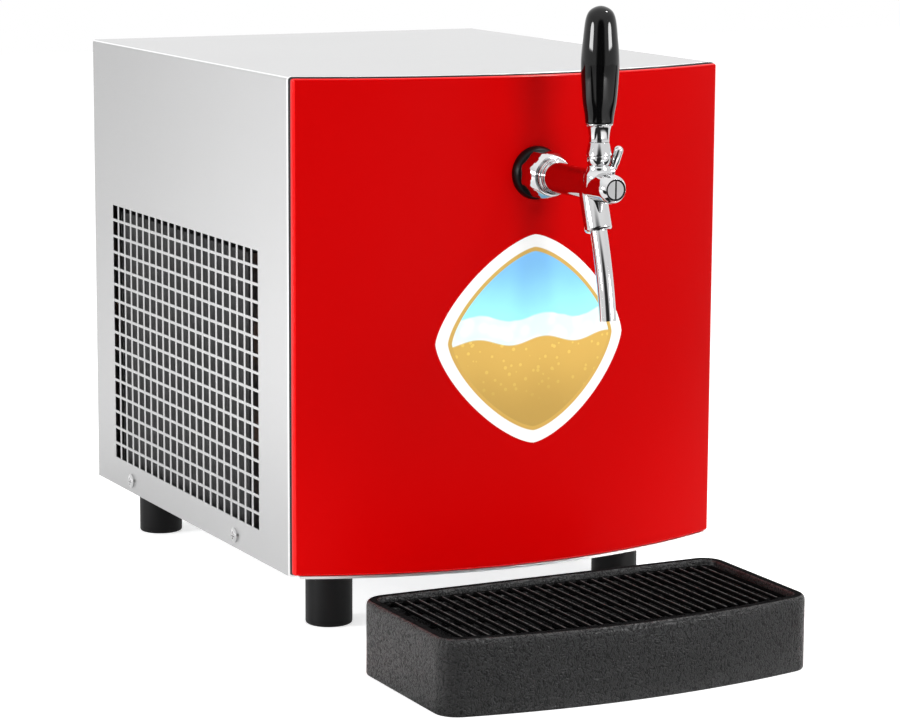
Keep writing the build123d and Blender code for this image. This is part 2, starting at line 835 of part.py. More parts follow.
def make_plunger():
    head_start = turret_reach - plunger_head_half
    disc = rod(land_radius - running_gap, plunger_disc_length)
    groove = rod(land_radius, plunger_disc_length - 2 * seal_groove_inset)
    groove -= rod(land_radius - seal_groove_depth, plunger_disc_length)
    disc -= Pos(0, 0, seal_groove_inset) * groove
    plunger = Pos(0, 0, plunger_disc_start) * disc
    plunger += Pos(0, 0, plunger_disc_start) * rod(plunger_rod_radius, head_start - plunger_disc_start)
    head = rod(chamber_radius - running_gap, 2 * plunger_head_half)
    slot_low = tap_height + plunger_slot_floor
    slot = block(
        (-chamber_radius, turret_y - plunger_slot_half, slot_low),
        (chamber_radius, turret_y + plunger_slot_half, slot_low + chamber_radius),
    )
    under = block(
        (-chamber_radius, turret_y - turret_reach, tap_height - chamber_radius),
        (chamber_radius, turret_y + turret_reach, tap_height - plunger_flat_drop),
    )
    guide = tap_axis() * Pos(0, 0, head_start) * head - slot - under
    return tap_axis() * plunger + guide


def make_plunger_seal():
    length = plunger_disc_length - 2 * seal_groove_inset
    ring = rod(land_radius - running_gap, length) - rod(land_radius - seal_groove_depth, length)
    return tap_axis() * Pos(0, 0, plunger_disc_start + seal_groove_inset) * ring


def flow_axis():
    """Location on the turret's right whose Z axis runs outward along the flow lever's spindle."""
    return facing((turret_radius + fit_gap, turret_y, tap_height + flow_rise), (1, 0, 0))


def make_flow_lever():
    lever = rod(flow_hub_radius, flow_hub_length)
    lever += Pos(0, 0, -flow_spindle_length) * rod(flow_spindle_radius, flow_spindle_length)
    lever = flow_axis() * lever
    stub = rod(flow_stub_radius, flow_stub_length) + Pos(0, 0, flow_stub_length) * Sphere(flow_stub_radius)
    lean = math.radians(flow_stub_lean)
    root_x = turret_radius + fit_gap + (flow_stub_radius + fit_gap) / math.cos(lean)
    root = Pos(root_x, turret_y, tap_height + flow_rise + flow_stub_rise)
    return lever + root * Rot(0, flow_stub_lean, 0) * stub


# Drip tray


def tray_plan(inset):
    """Plan of the tray drawn in from its outline: square back, bowed front, round corners."""
    half = tray_width / 2 - inset
    radius = ((tray_width / 2)**2 + tray_bow**2) / (2 * tray_bow) - inset
    center_y = tray_front_y + radius + inset
    corner_y = center_y - math.sqrt(radius**2 - half**2)
    back_y = tray_back_y - inset
    front = ThreePointArc((-half, corner_y), (0, tray_front_y + inset), (half, corner_y))
    rest = Polyline((half, corner_y), (half, back_y), (-half, back_y), (-half, corner_y))
    face = make_face(front.edges() + rest.edges())
    return Pos(tray_offset_x, 0, 0) * fillet(face.vertices(), tray_corner_radius - inset)


def make_drip_tray():
    tray = extrude(tray_plan(0), tray_height)
    tray = fillet(tray.edges().group_by(Axis.Z)[-1], tray_rim_radius)
    ledge = tray_height - tray_ledge_drop
    tray -= Pos(0, 0, ledge) * extrude(tray_plan(tray_rim_width), tray_ledge_drop + overrun)
    well_inset = tray_rim_width + tray_ledge_width
    return tray - Pos(0, 0, tray_floor) * extrude(tray_plan(well_inset), tray_height)


def make_grate():
    inset = tray_rim_width + grate_margin + grate_wire_radius
    axis_z = tray_height - tray_ledge_drop + fit_gap + grate_wire_radius
    outline = Pos(0, 0, axis_z) * tray_plan(inset).face().outer_wire()
    grate = swept(outline, grate_wire_radius)
    pitch = (tray_width - 2 * inset) / (grate_bars + 1)
    back = tray_back_y - inset
    front = tray_front_y + inset
    zone = Pos(0, 0, axis_z - grate_wire_radius) * extrude(tray_plan(inset), 2 * grate_wire_radius)
    length = back - front
    lay_back = Rot(90, 0, 0)
    bars = []
    for index in range(grate_bars):
        x = tray_offset_x + (index - (grate_bars - 1) / 2) * pitch
        bars.append(Pos(x, back, axis_z) * lay_back * rod(grate_bar_radius, length) & zone)
    cross_z = axis_z - grate_bar_radius - grate_cross_radius + grate_weld
    well_inset = tray_rim_width + tray_ledge_width + grate_margin
    cross_zone = extrude(tray_plan(well_inset), 3 * grate_wire_radius)
    cross_zone = Pos(0, 0, cross_z - grate_wire_radius) * cross_zone
    for share in grate_cross_shares:
        y = front + share * length
        wire = Pos(tray_offset_x, y, cross_z) * Rot(0, 90, 0) * Cylinder(grate_cross_radius, tray_width)
        bars.append(wire & cross_zone)
    return grate + bars


# Cooling unit

condenser_rear_y = casing_depth - condenser_rear_gap
condenser_height = casing_height - condenser_base_rise - condenser_room
condenser_left = -half_width + sheet + condenser_gap
condenser_right = condenser_left + condenser_depth
condenser_low = casing_low + condenser_base_rise
condenser_high = condenser_low + condenser_height
condenser_mid_y = (condenser_front_y + condenser_rear_y) / 2
condenser_mid_z = (condenser_low + condenser_high) / 2
pass_pitch = condenser_height / tube_passes
tube_x = (condenser_left + condenser_right) / 2
fan_radius = condenser_height / 2 - fan_margin
fan_x = condenser_right + fan_gap
motor_x = fan_x + fan_hub_length + motor_gap


def make_condenser_fins():
    span = condenser_rear_y - condenser_front_y - 2 * end_plate_thickness
    pitch = span / (condenser_fins_count + 1)
    first = condenser_front_y + end_plate_thickness + pitch
    fin = block(
        (condenser_left, -fin_thickness / 2, condenser_low),
        (condenser_right, fin_thickness / 2, condenser_high),
    )
    return Compound([Pos(0, first + i * pitch, 0) * fin for i in range(condenser_fins_count)])


def make_condenser_plates():
    plate = block(
        (condenser_left, 0, pan_top), (condenser_right, end_plate_thickness, condenser_high)
    )
    for index in range(tube_passes):
        z = condenser_low + (index + 1 / 2) * pass_pitch
        plate -= facing((tube_x, 0, z), (0, 1, 0)) * Cylinder(tube_radius + press_gap, overrun)
    places = (condenser_front_y, condenser_rear_y - end_plate_thickness)
    return Compound([Pos(0, y, 0) * plate for y in places])


def make_condenser_tube():
    bend = pass_pitch / 2
    front = condenser_front_y - fit_gap
    back = condenser_rear_y + fit_gap
    edges = []
    for index in range(tube_passes):
        z = condenser_low + (index + 1 / 2) * pass_pitch
        ends = (front, back) if index % 2 == 0 else (back, front)
        edges.append(Line((tube_x, ends[0], z), (tube_x, ends[1], z)))
        if index < tube_passes - 1:
            away = bend if ends[1] == back else -bend
            edges.append(ThreePointArc(
                (tube_x, ends[1], z), (tube_x, ends[1] + away, z + bend), (tube_x, ends[1], z + pass_pitch)
            ))
    return swept(Wire(edges), tube_radius)


def make_fan_shroud():
    x = condenser_right + fit_gap
    plate = block((x, condenser_front_y, pan_top), (x + sheet, condenser_rear_y, condenser_high))
    opening = fan_radius + fan_tip_gap
    ring = rod(opening + sheet, sheet + shroud_collar)
    axis = facing((x, condenser_mid_y, condenser_mid_z), (1, 0, 0))
    return plate + axis * ring - axis * rod(opening, sheet + shroud_collar)


def make_fan_blades():
    fan = rod(fan_hub_radius, fan_hub_length)
    outward = (Align.MIN, Align.CENTER, Align.CENTER)
    blade = Box(fan_radius, fan_blade_width, fan_blade_thickness, align=outward)
    blade = Rot(fan_blade_pitch, 0, 0) * blade
    for index in range(fan_blades_count):
        fan += Pos(0, 0, fan_hub_length / 2) * Rot(0, 0, index * 360 / fan_blades_count) * blade
    fan &= rod(fan_radius, fan_hub_length)
    fan -= rod(motor_shaft_radius + running_gap, fan_hub_length)
    return facing((fan_x, condenser_mid_y, condenser_mid_z), (1, 0, 0)) * fan


def make_fan_motor():
    motor = fillet(rod(motor_radius, motor_length).edges(), motor_shaft_radius)
    shaft = fan_hub_length + motor_gap
    motor += Pos(0, 0, -shaft) * rod(motor_shaft_radius, shaft)
    return facing((motor_x, condenser_mid_y, condenser_mid_z), (1, 0, 0)) * motor


def make_fan_bracket():
    x = motor_x + motor_length
    half = bracket_width / 2
    upright = block(
        (x, condenser_mid_y - half, pan_top),
        (x + bracket_thickness, condenser_mid_y + half, condenser_mid_z + half),
    )
    foot = block(
        (x, condenser_mid_y - half, pan_top),
        (x + bracket_foot, condenser_mid_y + half, pan_top + bracket_thickness),
    )
    return upright + foot


compressor_seat = pan_top + grommet_height


def grommet_places():
    """Centres of the four rubber mounts under the compressor's foot plate."""
    dx = compressor_plate_half_x - grommet_inset
    dy = compressor_plate_half_y - grommet_inset
    return [(compressor_x + a * dx, compressor_y + b * dy) for a in (-1, 1) for b in (-1, 1)]


def make_compressor():
    place = Pos(compressor_x, compressor_y, compressor_seat)
    plate = Box(2 * compressor_plate_half_x, 2 * compressor_plate_half_y, compressor_plate, align=bottom_up)
    plate = fillet(plate.edges().filter_by(Axis.Z), grommet_inset)
    pot = fillet(rod(compressor_radius, compressor_height).edges(), compressor_dome)
    hollow = rod(compressor_radius - compressor_wall, compressor_height - 2 * compressor_wall)
    hollow = fillet(hollow.edges(), compressor_dome - compressor_wall)
    body = plate + Pos(0, 0, compressor_plate) * (pot - Pos(0, 0, compressor_wall) * hollow)
    body = place * body
    hole = Cylinder(grommet_bolt_radius + press_gap, overrun + grommet_height)
    for x, y in grommet_places():
        body -= Pos(x, y, compressor_seat) * hole
    return body


def make_grommets():
    ring = rod(grommet_radius, grommet_height) - rod(grommet_bolt_radius + press_gap, grommet_height)
    return Compound([Pos(x, y, pan_top) * ring for x, y in grommet_places()])


def make_grommet_bolts():
    shank = grommet_height + compressor_plate
    bolt = rod(grommet_bolt_radius, shank)
    bolt += Pos(0, 0, shank) * prism(6, 4 * grommet_bolt_radius, grommet_bolt_radius)
    return Compound([Pos(x, y, pan_top) * bolt for x, y in grommet_places()])


# Cold block and lines

insulation_rear_y = compressor_y - compressor_radius - insulation_rear_gap
insulation_high = (half_width - sheet - insulation_side_gap, insulation_rear_y)
lid_low = casing_top - lid_room - insulation_lid
lid_top = lid_low + insulation_lid
block_low = tuple(a + insulation_wall for a in insulation_low)
block_high = tuple(a - insulation_wall for a in insulation_high)
# Where the four lines enter the block, as shares of its width and depth
port_shares = {
    "beer_in": (0.8, 0.75), "beer_out": (0.2, 0.25), "suction": (0.45, 0.35), "capillary": (0.25, 0.75),
}


def port(name):
    """Plan position of one line's entry into the cold block."""
    shares = port_shares[name]
    return [a + s * (b - a) for a, b, s in zip(block_low, block_high, shares)]


def make_cold_block():
    return block((*block_low, pan_top + insulation_wall), (*block_high, lid_low - fit_gap))


def make_insulation_box():
    box = block((*insulation_low, pan_top), (*insulation_high, lid_low))
    low = [a - press_gap for a in block_low]
    high = [a + press_gap for a in block_high]
    return box - block((*low, pan_top + insulation_wall), (*high, lid_low + overrun))


def make_insulation_lid():
    lid = block((*insulation_low, lid_low), (*insulation_high, lid_top))
    for name in port_shares:
        lid -= Pos(*port(name), lid_low) * Cylinder(line_radius + fit_gap, 2 * insulation_lid + overrun)
    return lid


def line_through(points, bend, radius, bore=0):
    """Bent line through points; a bore makes it a tube."""
    path = FilletPolyline(*points, radius=bend)
    return pipe(path, radius, bore) if bore else swept(path, radius)


def make_beer_line_in():
    x, y = port("beer_in")
    start = casing_depth - sheet - inlet_thread_length - fit_gap
    points = [
        (inlet_x, start, inlet_z), (inlet_x, y + 3 * line_bend, inlet_z), (x, y, inlet_z), (x, y, lid_low),
    ]
    return line_through(points, line_bend, line_radius, line_radius - line_wall)


def make_beer_line_out():
    x, y = port("beer_out")
    end = tap_y + shank_rear + fit_gap
    rise = tap_height
    points = [(x, y, lid_low), (x, y, rise), (0, y, rise), (0, end, rise)]
    return line_through(points, line_bend, line_radius, line_radius - line_wall)


def make_suction_line():
    x, y = port("suction")
    high = lid_top + 2 * copper_bend
    end = compressor_seat + compressor_plate + compressor_height
    points = [(x, y, lid_low), (x, y, high), (x, compressor_y, high), (x, compressor_y, end)]
    return line_through(points, copper_bend, copper_radius)


def make_discharge_line():
    z = condenser_high - pass_pitch / 2
    side = compressor_seat + compressor_plate + compressor_height / 2
    start_x = compressor_x - compressor_radius
    end_y = condenser_front_y - fit_gap
    mid_x = start_x - 2 * copper_bend
    lead_y = end_y - 2 * copper_bend
    high = z + 2 * pass_pitch
    points = [
        (start_x, compressor_y, side), (mid_x, compressor_y, side), (mid_x, compressor_y, high),
        (mid_x, lead_y, high), (tube_x, lead_y, high), (tube_x, lead_y, z), (tube_x, end_y, z),
    ]
    return line_through(points, copper_bend, copper_radius)


drier_z = lid_top + drier_length / 2


def make_filter_drier():
    half = drier_length / 2
    drier = turned([
        (0, -half), (copper_radius, -half), (copper_radius, drier_neck - half),
        (drier_radius, 2 * drier_neck - half), (drier_radius, half - 2 * drier_neck),
        (copper_radius, half - drier_neck), (copper_radius, half), (0, half),
    ])
    return Pos(*port("capillary"), drier_z) * drier


def make_liquid_line():
    x, y = port("capillary")
    z = condenser_low + pass_pitch / 2
    start_y = condenser_front_y - fit_gap
    lead_y = start_y - 3 * copper_bend
    turn_x = insulation_low[0] - 2 * copper_bend
    high = drier_z + drier_length / 2 + 2 * copper_bend
    points = [
        (tube_x, start_y, z), (tube_x, lead_y, z), (turn_x, lead_y, z), (turn_x, lead_y, high),
        (turn_x, y, high), (x, y, high), (x, y, drier_z + drier_length / 2),
    ]
    return line_through(points, copper_bend, copper_radius)


# Back fittings and controls


def on_back(x, z):
    """Location on the back panel whose Z axis points backward."""
    return facing((x, casing_depth, z), (0, 1, 0))


def make_beer_inlet():
    fitting = prism(6, inlet_hex, inlet_hex_length)
    fitting += rod(inlet_head_radius, inlet_reach)
    thread = inlet_thread_length + sheet
    fitting += Pos(0, 0, -thread) * rod(inlet_thread_radius, thread)
    fitting -= Pos(0, 0, -thread) * rod(line_radius - line_wall, thread + inlet_reach)
    fitting -= Pos(0, 0, inlet_reach - inlet_bore_depth) * rod(inlet_bore_radius, inlet_bore_depth)
    return on_back(inlet_x, inlet_z) * fitting


def bulkhead_nut(x, z, thread_radius, across):
    """Hexagonal nut on a thread just inside the back panel."""
    nut = prism(6, across, bulkhead_nut_length) - rod(thread_radius + press_gap, bulkhead_nut_length)
    return on_back(x, z) * Pos(0, 0, -sheet - fit_gap - bulkhead_nut_length) * nut


def make_cord_gland():
    cap = turned([
        (0, 0), (gland_radius, 0), (gland_radius, gland_flange),
        (gland_thread_radius, gland_reach), (0, gland_reach),
    ])
    thread = gland_thread_length + sheet
    gland = cap + Pos(0, 0, -thread) * rod(gland_thread_radius, thread)
    return on_back(gland_x, gland_z) * (gland - Pos(0, 0, -thread) * rod(gland_bore, thread + gland_reach))


def make_thermostat():
    width, height, depth = thermostat_size
    body = Box(width, height, depth, align=(Align.CENTER, Align.CENTER, Align.MAX))
    shaft = rod(knob_shaft_radius, knob_shaft_length + sheet + fit_gap)
    return on_back(thermostat_x, thermostat_z) * Pos(0, 0, -sheet - fit_gap) * (body + shaft)


def make_thermostat_knob():
    skirt = rod(knob_radius, knob_skirt)
    grip = Box(2 * knob_radius, 2 * knob_grip_half, knob_height, align=bottom_up)
    grip &= rod(knob_radius, knob_height)
    knob = skirt + grip - rod(knob_shaft_radius + running_gap, knob_shaft_length)
    return on_back(thermostat_x, thermostat_z) * Pos(0, 0, fit_gap) * knob


def make_switch_housing():
    flange = Box(*switch_flange, switch_flange_thickness, align=bottom_up)
    body = Box(*switch_body, switch_depth, align=(Align.CENTER, Align.CENTER, Align.MAX))
    window = [size - 2 * switch_wall for size in switch_body]
    well = Box(*window, switch_depth, align=(Align.CENTER, Align.CENTER, Align.MIN))
    pin = Rot(0, 90, 0) * Cylinder(rocker_pin_radius, switch_body[0])
    housing = flange + body - Pos(0, 0, -switch_depth / 2) * well + pin
    return on_back(switch_x, switch_z) * housing


def make_power_rocker():
    width, height = [size - 2 * switch_wall - 2 * fit_gap for size in switch_body]
    rise = switch_flange_thickness + rocker_rise
    lean = math.radians(rocker_tilt)
    half = height / 2 - rise * math.sin(lean)
    outline = Polyline(
        (-half, rise), (0, rise - half * math.tan(lean)), (half, rise),
        (half, 0), (0, -half), (-half, 0), close=True,
    )
    rocker = extrude(Plane.YZ * make_face(outline), width / 2, both=True)
    rocker -= Rot(0, 90, 0) * Cylinder(rocker_pin_radius + running_gap, width)
    return on_back(switch_x, switch_z) * Rot(-rocker_tilt, 0, 0) * rocker


os.makedirs("parts", exist_ok=True)

save("casing", make_casing())
save("front_panel", make_front_panel())
save("panel_gasket", make_panel_gasket())
save("front_sheet", make_front_sheet())
save("base_pan", make_base_pan())
save("back_panel", make_back_panel())
foot_names = ("foot_front_left", "foot_front_right", "foot_rear_left", "foot_rear_right")
for foot_name, (foot_x, foot_y) in zip(foot_names, foot_places()):
    save(foot_name, Pos(foot_x, foot_y, 0) * make_foot())
save("foot_bolts", make_foot_bolts())
save("casing_screws", make_casing_screws())
save("back_panel_screws", make_back_screws())

save("rosette", make_rosette())
save("tap_shank", make_tap_shank())
save("shank_washer", make_shank_washer())
save("shank_lock_nut", make_shank_lock_nut())
save("coupling_nut", make_coupling_nut())
save("tap_body", make_tap_body())
save("end_plug", make_end_plug())
save("end_plug_seal", make_end_plug_seal())
save("spout", make_spout())
save("bonnet", make_bonnet())
save("pivot_pin", make_pivot_pin())
save("lever_stem", make_lever_stem())
save("lever_bell", make_lever_bell())
save("lever_ferrule", make_lever_ferrule())
save("handle", make_handle())
save("valve_plunger", make_plunger())
save("plunger_seal", make_plunger_seal())
save("flow_lever", make_flow_lever())

save("drip_tray", make_drip_tray())
save("drip_grate", make_grate())

save("condenser_fins", make_condenser_fins())
save("condenser_plates", make_condenser_plates())
save("condenser_tube", make_condenser_tube())
save("fan_shroud", make_fan_shroud())
save("fan_blades", make_fan_blades())
save("fan_motor", make_fan_motor())
save("fan_bracket", make_fan_bracket())
save("compressor", make_compressor())
save("compressor_grommets", make_grommets())
save("compressor_bolts", make_grommet_bolts())
save("cold_block", make_cold_block())
save("insulation_box", make_insulation_box())
save("insulation_lid", make_insulation_lid())
save("beer_line_in", make_beer_line_in())
save("beer_line_out", make_beer_line_out())
save("suction_line", make_suction_line())
save("discharge_line", make_discharge_line())
save("filter_drier", make_filter_drier())
save("liquid_line", make_liquid_line())

save("beer_inlet", make_beer_inlet())
save("beer_inlet_nut", bulkhead_nut(inlet_x, inlet_z, inlet_thread_radius, inlet_hex))
save("cord_gland", make_cord_gland())
save("gland_nut", bulkhead_nut(gland_x, gland_z, gland_thread_radius, 2 * gland_radius))
save("thermostat", make_thermostat())
save("thermostat_knob", make_thermostat_knob())
save("switch_housing", make_switch_housing())
save("power_rocker", make_power_rocker())
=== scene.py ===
import json
import math
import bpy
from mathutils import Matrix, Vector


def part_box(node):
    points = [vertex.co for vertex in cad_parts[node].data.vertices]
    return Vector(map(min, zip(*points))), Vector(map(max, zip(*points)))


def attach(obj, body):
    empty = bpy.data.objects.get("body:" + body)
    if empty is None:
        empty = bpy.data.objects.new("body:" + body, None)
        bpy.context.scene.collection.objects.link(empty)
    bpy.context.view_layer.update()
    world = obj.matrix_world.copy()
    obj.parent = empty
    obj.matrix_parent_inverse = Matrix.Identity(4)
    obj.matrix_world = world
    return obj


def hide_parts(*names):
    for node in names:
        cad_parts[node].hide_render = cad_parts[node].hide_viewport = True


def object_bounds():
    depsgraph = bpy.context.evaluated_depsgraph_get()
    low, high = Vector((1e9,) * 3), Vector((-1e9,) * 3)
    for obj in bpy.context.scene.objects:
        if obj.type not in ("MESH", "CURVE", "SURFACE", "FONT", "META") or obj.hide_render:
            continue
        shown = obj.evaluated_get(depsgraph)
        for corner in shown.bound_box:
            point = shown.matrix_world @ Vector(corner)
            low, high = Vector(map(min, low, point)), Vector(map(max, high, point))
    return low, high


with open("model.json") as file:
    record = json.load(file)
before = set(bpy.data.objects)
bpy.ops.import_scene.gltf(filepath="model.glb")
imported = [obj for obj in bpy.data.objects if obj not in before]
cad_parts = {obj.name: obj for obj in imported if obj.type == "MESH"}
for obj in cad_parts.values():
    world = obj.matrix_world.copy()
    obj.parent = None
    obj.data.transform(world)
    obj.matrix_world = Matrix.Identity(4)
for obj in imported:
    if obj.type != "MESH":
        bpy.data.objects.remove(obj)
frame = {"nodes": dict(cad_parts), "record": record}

from types import SimpleNamespace

import bmesh
import bpy
import numpy as np
from bpy.props import FloatProperty, FloatVectorProperty, IntProperty, PointerProperty
from mathutils import Matrix

bl_info = {
    "name": "Draft beer dispenser",
    "version": (1, 0, 0),
    "blender": (4, 5, 0),
    "location": "3D View > Sidebar > Dispenser",
    "description": "Dresses a counter-top draft beer dispenser: casing, front, tap, drip tray and finishes",
    "category": "Object",
}

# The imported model's box, and the places that the pieces are built on
CAD_BOX = [list(corner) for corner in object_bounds()]
PANEL_LOW, PANEL_HIGH = (np.array(corner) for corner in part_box("front_panel"))
HALF_WIDTH = PANEL_HIGH[0]
FRONT_Y = PANEL_LOW[1]
TAP_Z = float(np.mean([corner[2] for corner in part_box("rosette")]))
TURRET_Y = float(np.mean([corner[1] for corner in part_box("bonnet")]))
PIVOT_Z = float(np.mean([corner[2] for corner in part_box("pivot_pin")]))
SIDES = 96
MM = 0.001


def length(name, description, default):
    """Size in metres."""
    return FloatProperty(name=name, description=description, default=default, unit="LENGTH", precision=4)


def angle(name, description, degrees):
    """Angle, kept in radians."""
    return FloatProperty(name=name, description=description, default=math.radians(degrees), unit="ROTATION")


def colour(name, description, default):
    """Linear colour."""
    return FloatVectorProperty(
        name=name, description=description, default=default, subtype="COLOR", min=0.0, max=1.0
    )


class DispenserColours(bpy.types.PropertyGroup):
    """Base colours of the finishes."""

    steel: colour("Steel", "Satin stainless sheet of the casing", (0.55, 0.55, 0.553))
    zinc: colour("Zinc", "Plated sheet and bolts inside", (0.56, 0.57, 0.58))
    red: colour("Red", "Film on the front panel", (0.465, 0.0003, 0.0006))
    chrome: colour("Chrome", "Plated brass of the tap", (0.56, 0.56, 0.565))
    black: colour("Black", "Gloss black of the handle and the rosette", (0.0015, 0.0015, 0.0016))
    rubber: colour("Rubber", "Feet, seals and grommets", (0.004, 0.004, 0.0042))
    tray: colour("Tray", "Grained plastic of the drip tray", (0.014, 0.014, 0.0143))
    wire: colour("Wire", "Coating of the grate", (0.006, 0.006, 0.0062))
    fins: colour("Fins", "Coated condenser fins", (0.05, 0.05, 0.052))
    copper: colour("Copper", "Refrigerant lines", (0.72, 0.36, 0.22))
    brass: colour("Brass", "Unplated brass", (0.68, 0.52, 0.26))
    foam: colour("Foam", "Black rubber foam of the insulation", (0.03, 0.03, 0.031))
    pale: colour("Pale plastic", "Beer line and inlet fitting", (0.78, 0.79, 0.80))
    print_gold: colour("Print gold", "Lower field of the printed emblem", (0.80, 0.50, 0.12))
    print_blue: colour("Print blue", "Upper field of the printed emblem", (0.20, 0.50, 0.86))
    print_white: colour("Print white", "Border and foam of the printed emblem", (0.88, 0.88, 0.87))


# Materials


class Value:
    """Output of a node. Arithmetic on it adds Math nodes to the same finish."""

    def __init__(self, finish, socket):
        self.finish = finish
        self.socket = socket

    def math(self, operation, *terms):
        return self.finish.node("ShaderNodeMath", {"operation": operation}, dict(enumerate(terms)))

    def __add__(self, other):
        return self.math("ADD", self, other)

    def __radd__(self, other):
        return self.math("ADD", other, self)

    def __sub__(self, other):
        return self.math("SUBTRACT", self, other)

    def __rsub__(self, other):
        return self.math("SUBTRACT", other, self)

    def __mul__(self, other):
        return self.math("MULTIPLY", self, other)

    def __rmul__(self, other):
        return self.math("MULTIPLY", other, self)

    def __truediv__(self, other):
        return self.math("DIVIDE", self, other)

    def __rtruediv__(self, other):
        return self.math("DIVIDE", other, self)

    def __pow__(self, other):
        return self.math("POWER", self, other)

    def __neg__(self):
        return self.math("MULTIPLY", self, -1.0)

    def __abs__(self):
        return self.math("ABSOLUTE", self)

    def step(self, low, high):
        """Smooth step from 0 at low to 1 at high."""
        settings = {"interpolation_type": "SMOOTHSTEP"}
        return self.finish.node("ShaderNodeMapRange", settings, {0: self, 1: low, 2: high})

    def near(self, edge, start, full):
        """Smooth step up to an edge, from 0 at the start below it to 1 at full below it."""
        return self.step(edge - start, edge - full)


class Nodes:
    """Node tree under construction."""

    def __init__(self, tree):
        self.tree = tree

    def node(self, kind, settings=None, inputs=None, output=0):
        """Node of any type: its settings first, then the values or links of its sockets."""
        made = self.tree.nodes.new(kind)
        for name, setting in (settings or {}).items():
            setattr(made, name, setting)
        for key, source in (inputs or {}).items():
            self.feed(made.inputs[key], source)
        return Value(self, made.outputs[output])

    def feed(self, socket, source):
        """Link a node's output to a socket, or set the socket to a plain value."""
        if isinstance(source, Value):
            self.tree.links.new(source.socket, socket)
        elif socket.type == "RGBA" and len(source) == 3:
            socket.default_value = (*source, 1.0)
        else:
            socket.default_value = source

    def axes(self, vector):
        """The three parts of a vector as values."""
        made = self.node("ShaderNodeSeparateXYZ", inputs={0: vector})
        return [Value(self, made.socket.node.outputs[i]) for i in range(3)]

    def ray(self, *kinds):
        """1 for rays of any of these kinds, 0 for the rest."""
        return sum(self.node("ShaderNodeLightPath", output=f"Is {kind} Ray") for kind in kinds)


class Finish(Nodes):
    """Material under construction: a Principled shader and the nodes that feed it."""

    def __init__(self, name):
        self.material = bpy.data.materials.new(name)
        self.material.use_nodes = True
        super().__init__(self.material.node_tree)
        self.shader = self.tree.nodes["Principled BSDF"]

    def place(self):
        """Object coordinates in metres."""
        return self.node("ShaderNodeTexCoord", output=3)

    def stretched(self, scale):
        """Object coordinates scaled by axis."""
        return self.node("ShaderNodeMapping", inputs={"Vector": self.place(), "Scale": scale})

    def noise(self, scale, detail=3.0, roughness=0.55, vector=None):
        """Noise from 0 to 1, with about scale features a metre."""
        inputs = {"Scale": scale, "Detail": detail, "Roughness": roughness, "Vector": vector or self.place()}
        return self.node("ShaderNodeTexNoise", inputs=inputs)

    def cells(self, scale, feature="F1", vector=None):
        """Distance in a Voronoi pattern with about scale cells a metre."""
        inputs = {"Scale": scale, "Vector": vector or self.place()}
        return self.node("ShaderNodeTexVoronoi", {"feature": feature}, inputs)

    def mix(self, factor, first, second):
        """Colour between two colours."""
        settings = {"data_type": "RGBA"}
        return self.node("ShaderNodeMix", settings, {0: factor, 6: first, 7: second}, output=2)

    def bump(self, height, distance, strength=1.0):
        """Relief of a height that runs from 0 to 1, as deep as the distance in metres."""
        inputs = {"Height": height, "Distance": distance, "Strength": strength}
        self.feed(self.shader.inputs["Normal"], self.node("ShaderNodeBump", inputs=inputs))

    def blend(self, share, first, second):
        """Shader between two shaders."""
        return self.node("ShaderNodeMixShader", inputs={0: share, 1: first, 2: second})

    def dull(self, share, tone, darker, lighter):
        """Change the gloss for a matt surface where the share is 1, with a tone between two colours."""
        matt = [self.node("ShaderNodeBsdfDiffuse", inputs={"Color": rgb}) for rgb in (darker, lighter)]
        lit = Value(self, self.shader.outputs[0])
        both = self.blend(share, lit, self.blend(tone, *matt))
        self.feed(self.tree.nodes["Material Output"].inputs["Surface"], both)

    def set(self, **sockets):
        """Feed the shader's sockets, named in lower case with underscores."""
        for name, source in sockets.items():
            key = name.replace("_", " ").title().replace("Ior", "IOR")
            self.feed(self.shader.inputs[key], source)
        return self


def shade(rgb, factor):
    """Colour made lighter or darker."""
    return tuple(min(1.0, part * factor) for part in rgb)


def steel_finish(name, rgb, roughness, drift):
    """Satin sheet: soft clouds, fine grain and a light polish; painted highlights on the folded edges, and
    painted shade towards the back.
    """
    finish = Finish(name)
    clouds = finish.noise(9.0, 2.0)
    grain = finish.noise(700.0, 4.0)
    polish = finish.noise(60.0, 3.0, vector=finish.stretched((6.0, 1.0, 18.0)))
    tone = clouds * 0.5 + grain * 0.3 + polish * 0.2
    x, y, z = finish.axes(finish.place())
    top = PANEL_HIGH[2]
    # Factors of the painted shade towards the back and of the painted highlight on the edges
    rear_shade, edge_highlight, hem_start, hem_end = 0.76, 1.7, 0.0034, 0.0044
    # Painted shade: the sheet is darkened towards the back, except on the top
    rear_painted_shade = y.step(FRONT_Y, CAD_BOX[1][1]) * (1.0 - z.near(top, 0.0020, 0.0010))
    bow = bpy.context.scene.dispenser_front.bow
    radius = (HALF_WIDTH**2 + bow**2) / (2 * bow)
    # Painted highlight: the front hem and the fold between top and side are made lighter
    depth = y + (radius**2 - x * x)**0.5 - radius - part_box("casing")[0][1]
    hem_highlight = 1.0 - depth.step(hem_start, hem_end)
    fold_highlight = z.near(top, 0.0018, 0.0010) * abs(x).near(HALF_WIDTH, 0.0018, 0.0010)
    bright = finish.mix(tone, shade(rgb, 1.0 - drift), shade(rgb, 1.0 + drift))
    sheet = finish.mix(rear_painted_shade, bright, shade(rgb, rear_shade))
    finish.set(
        metallic=1.0,
        base_color=finish.mix(hem_highlight + fold_highlight - hem_highlight * fold_highlight, sheet, shade(rgb, edge_highlight)),
        roughness=roughness + (grain - 0.5) * 0.10 + (polish - 0.5) * 0.06,
    )
    finish.bump(grain, 0.00003, 0.5)
    return finish.material


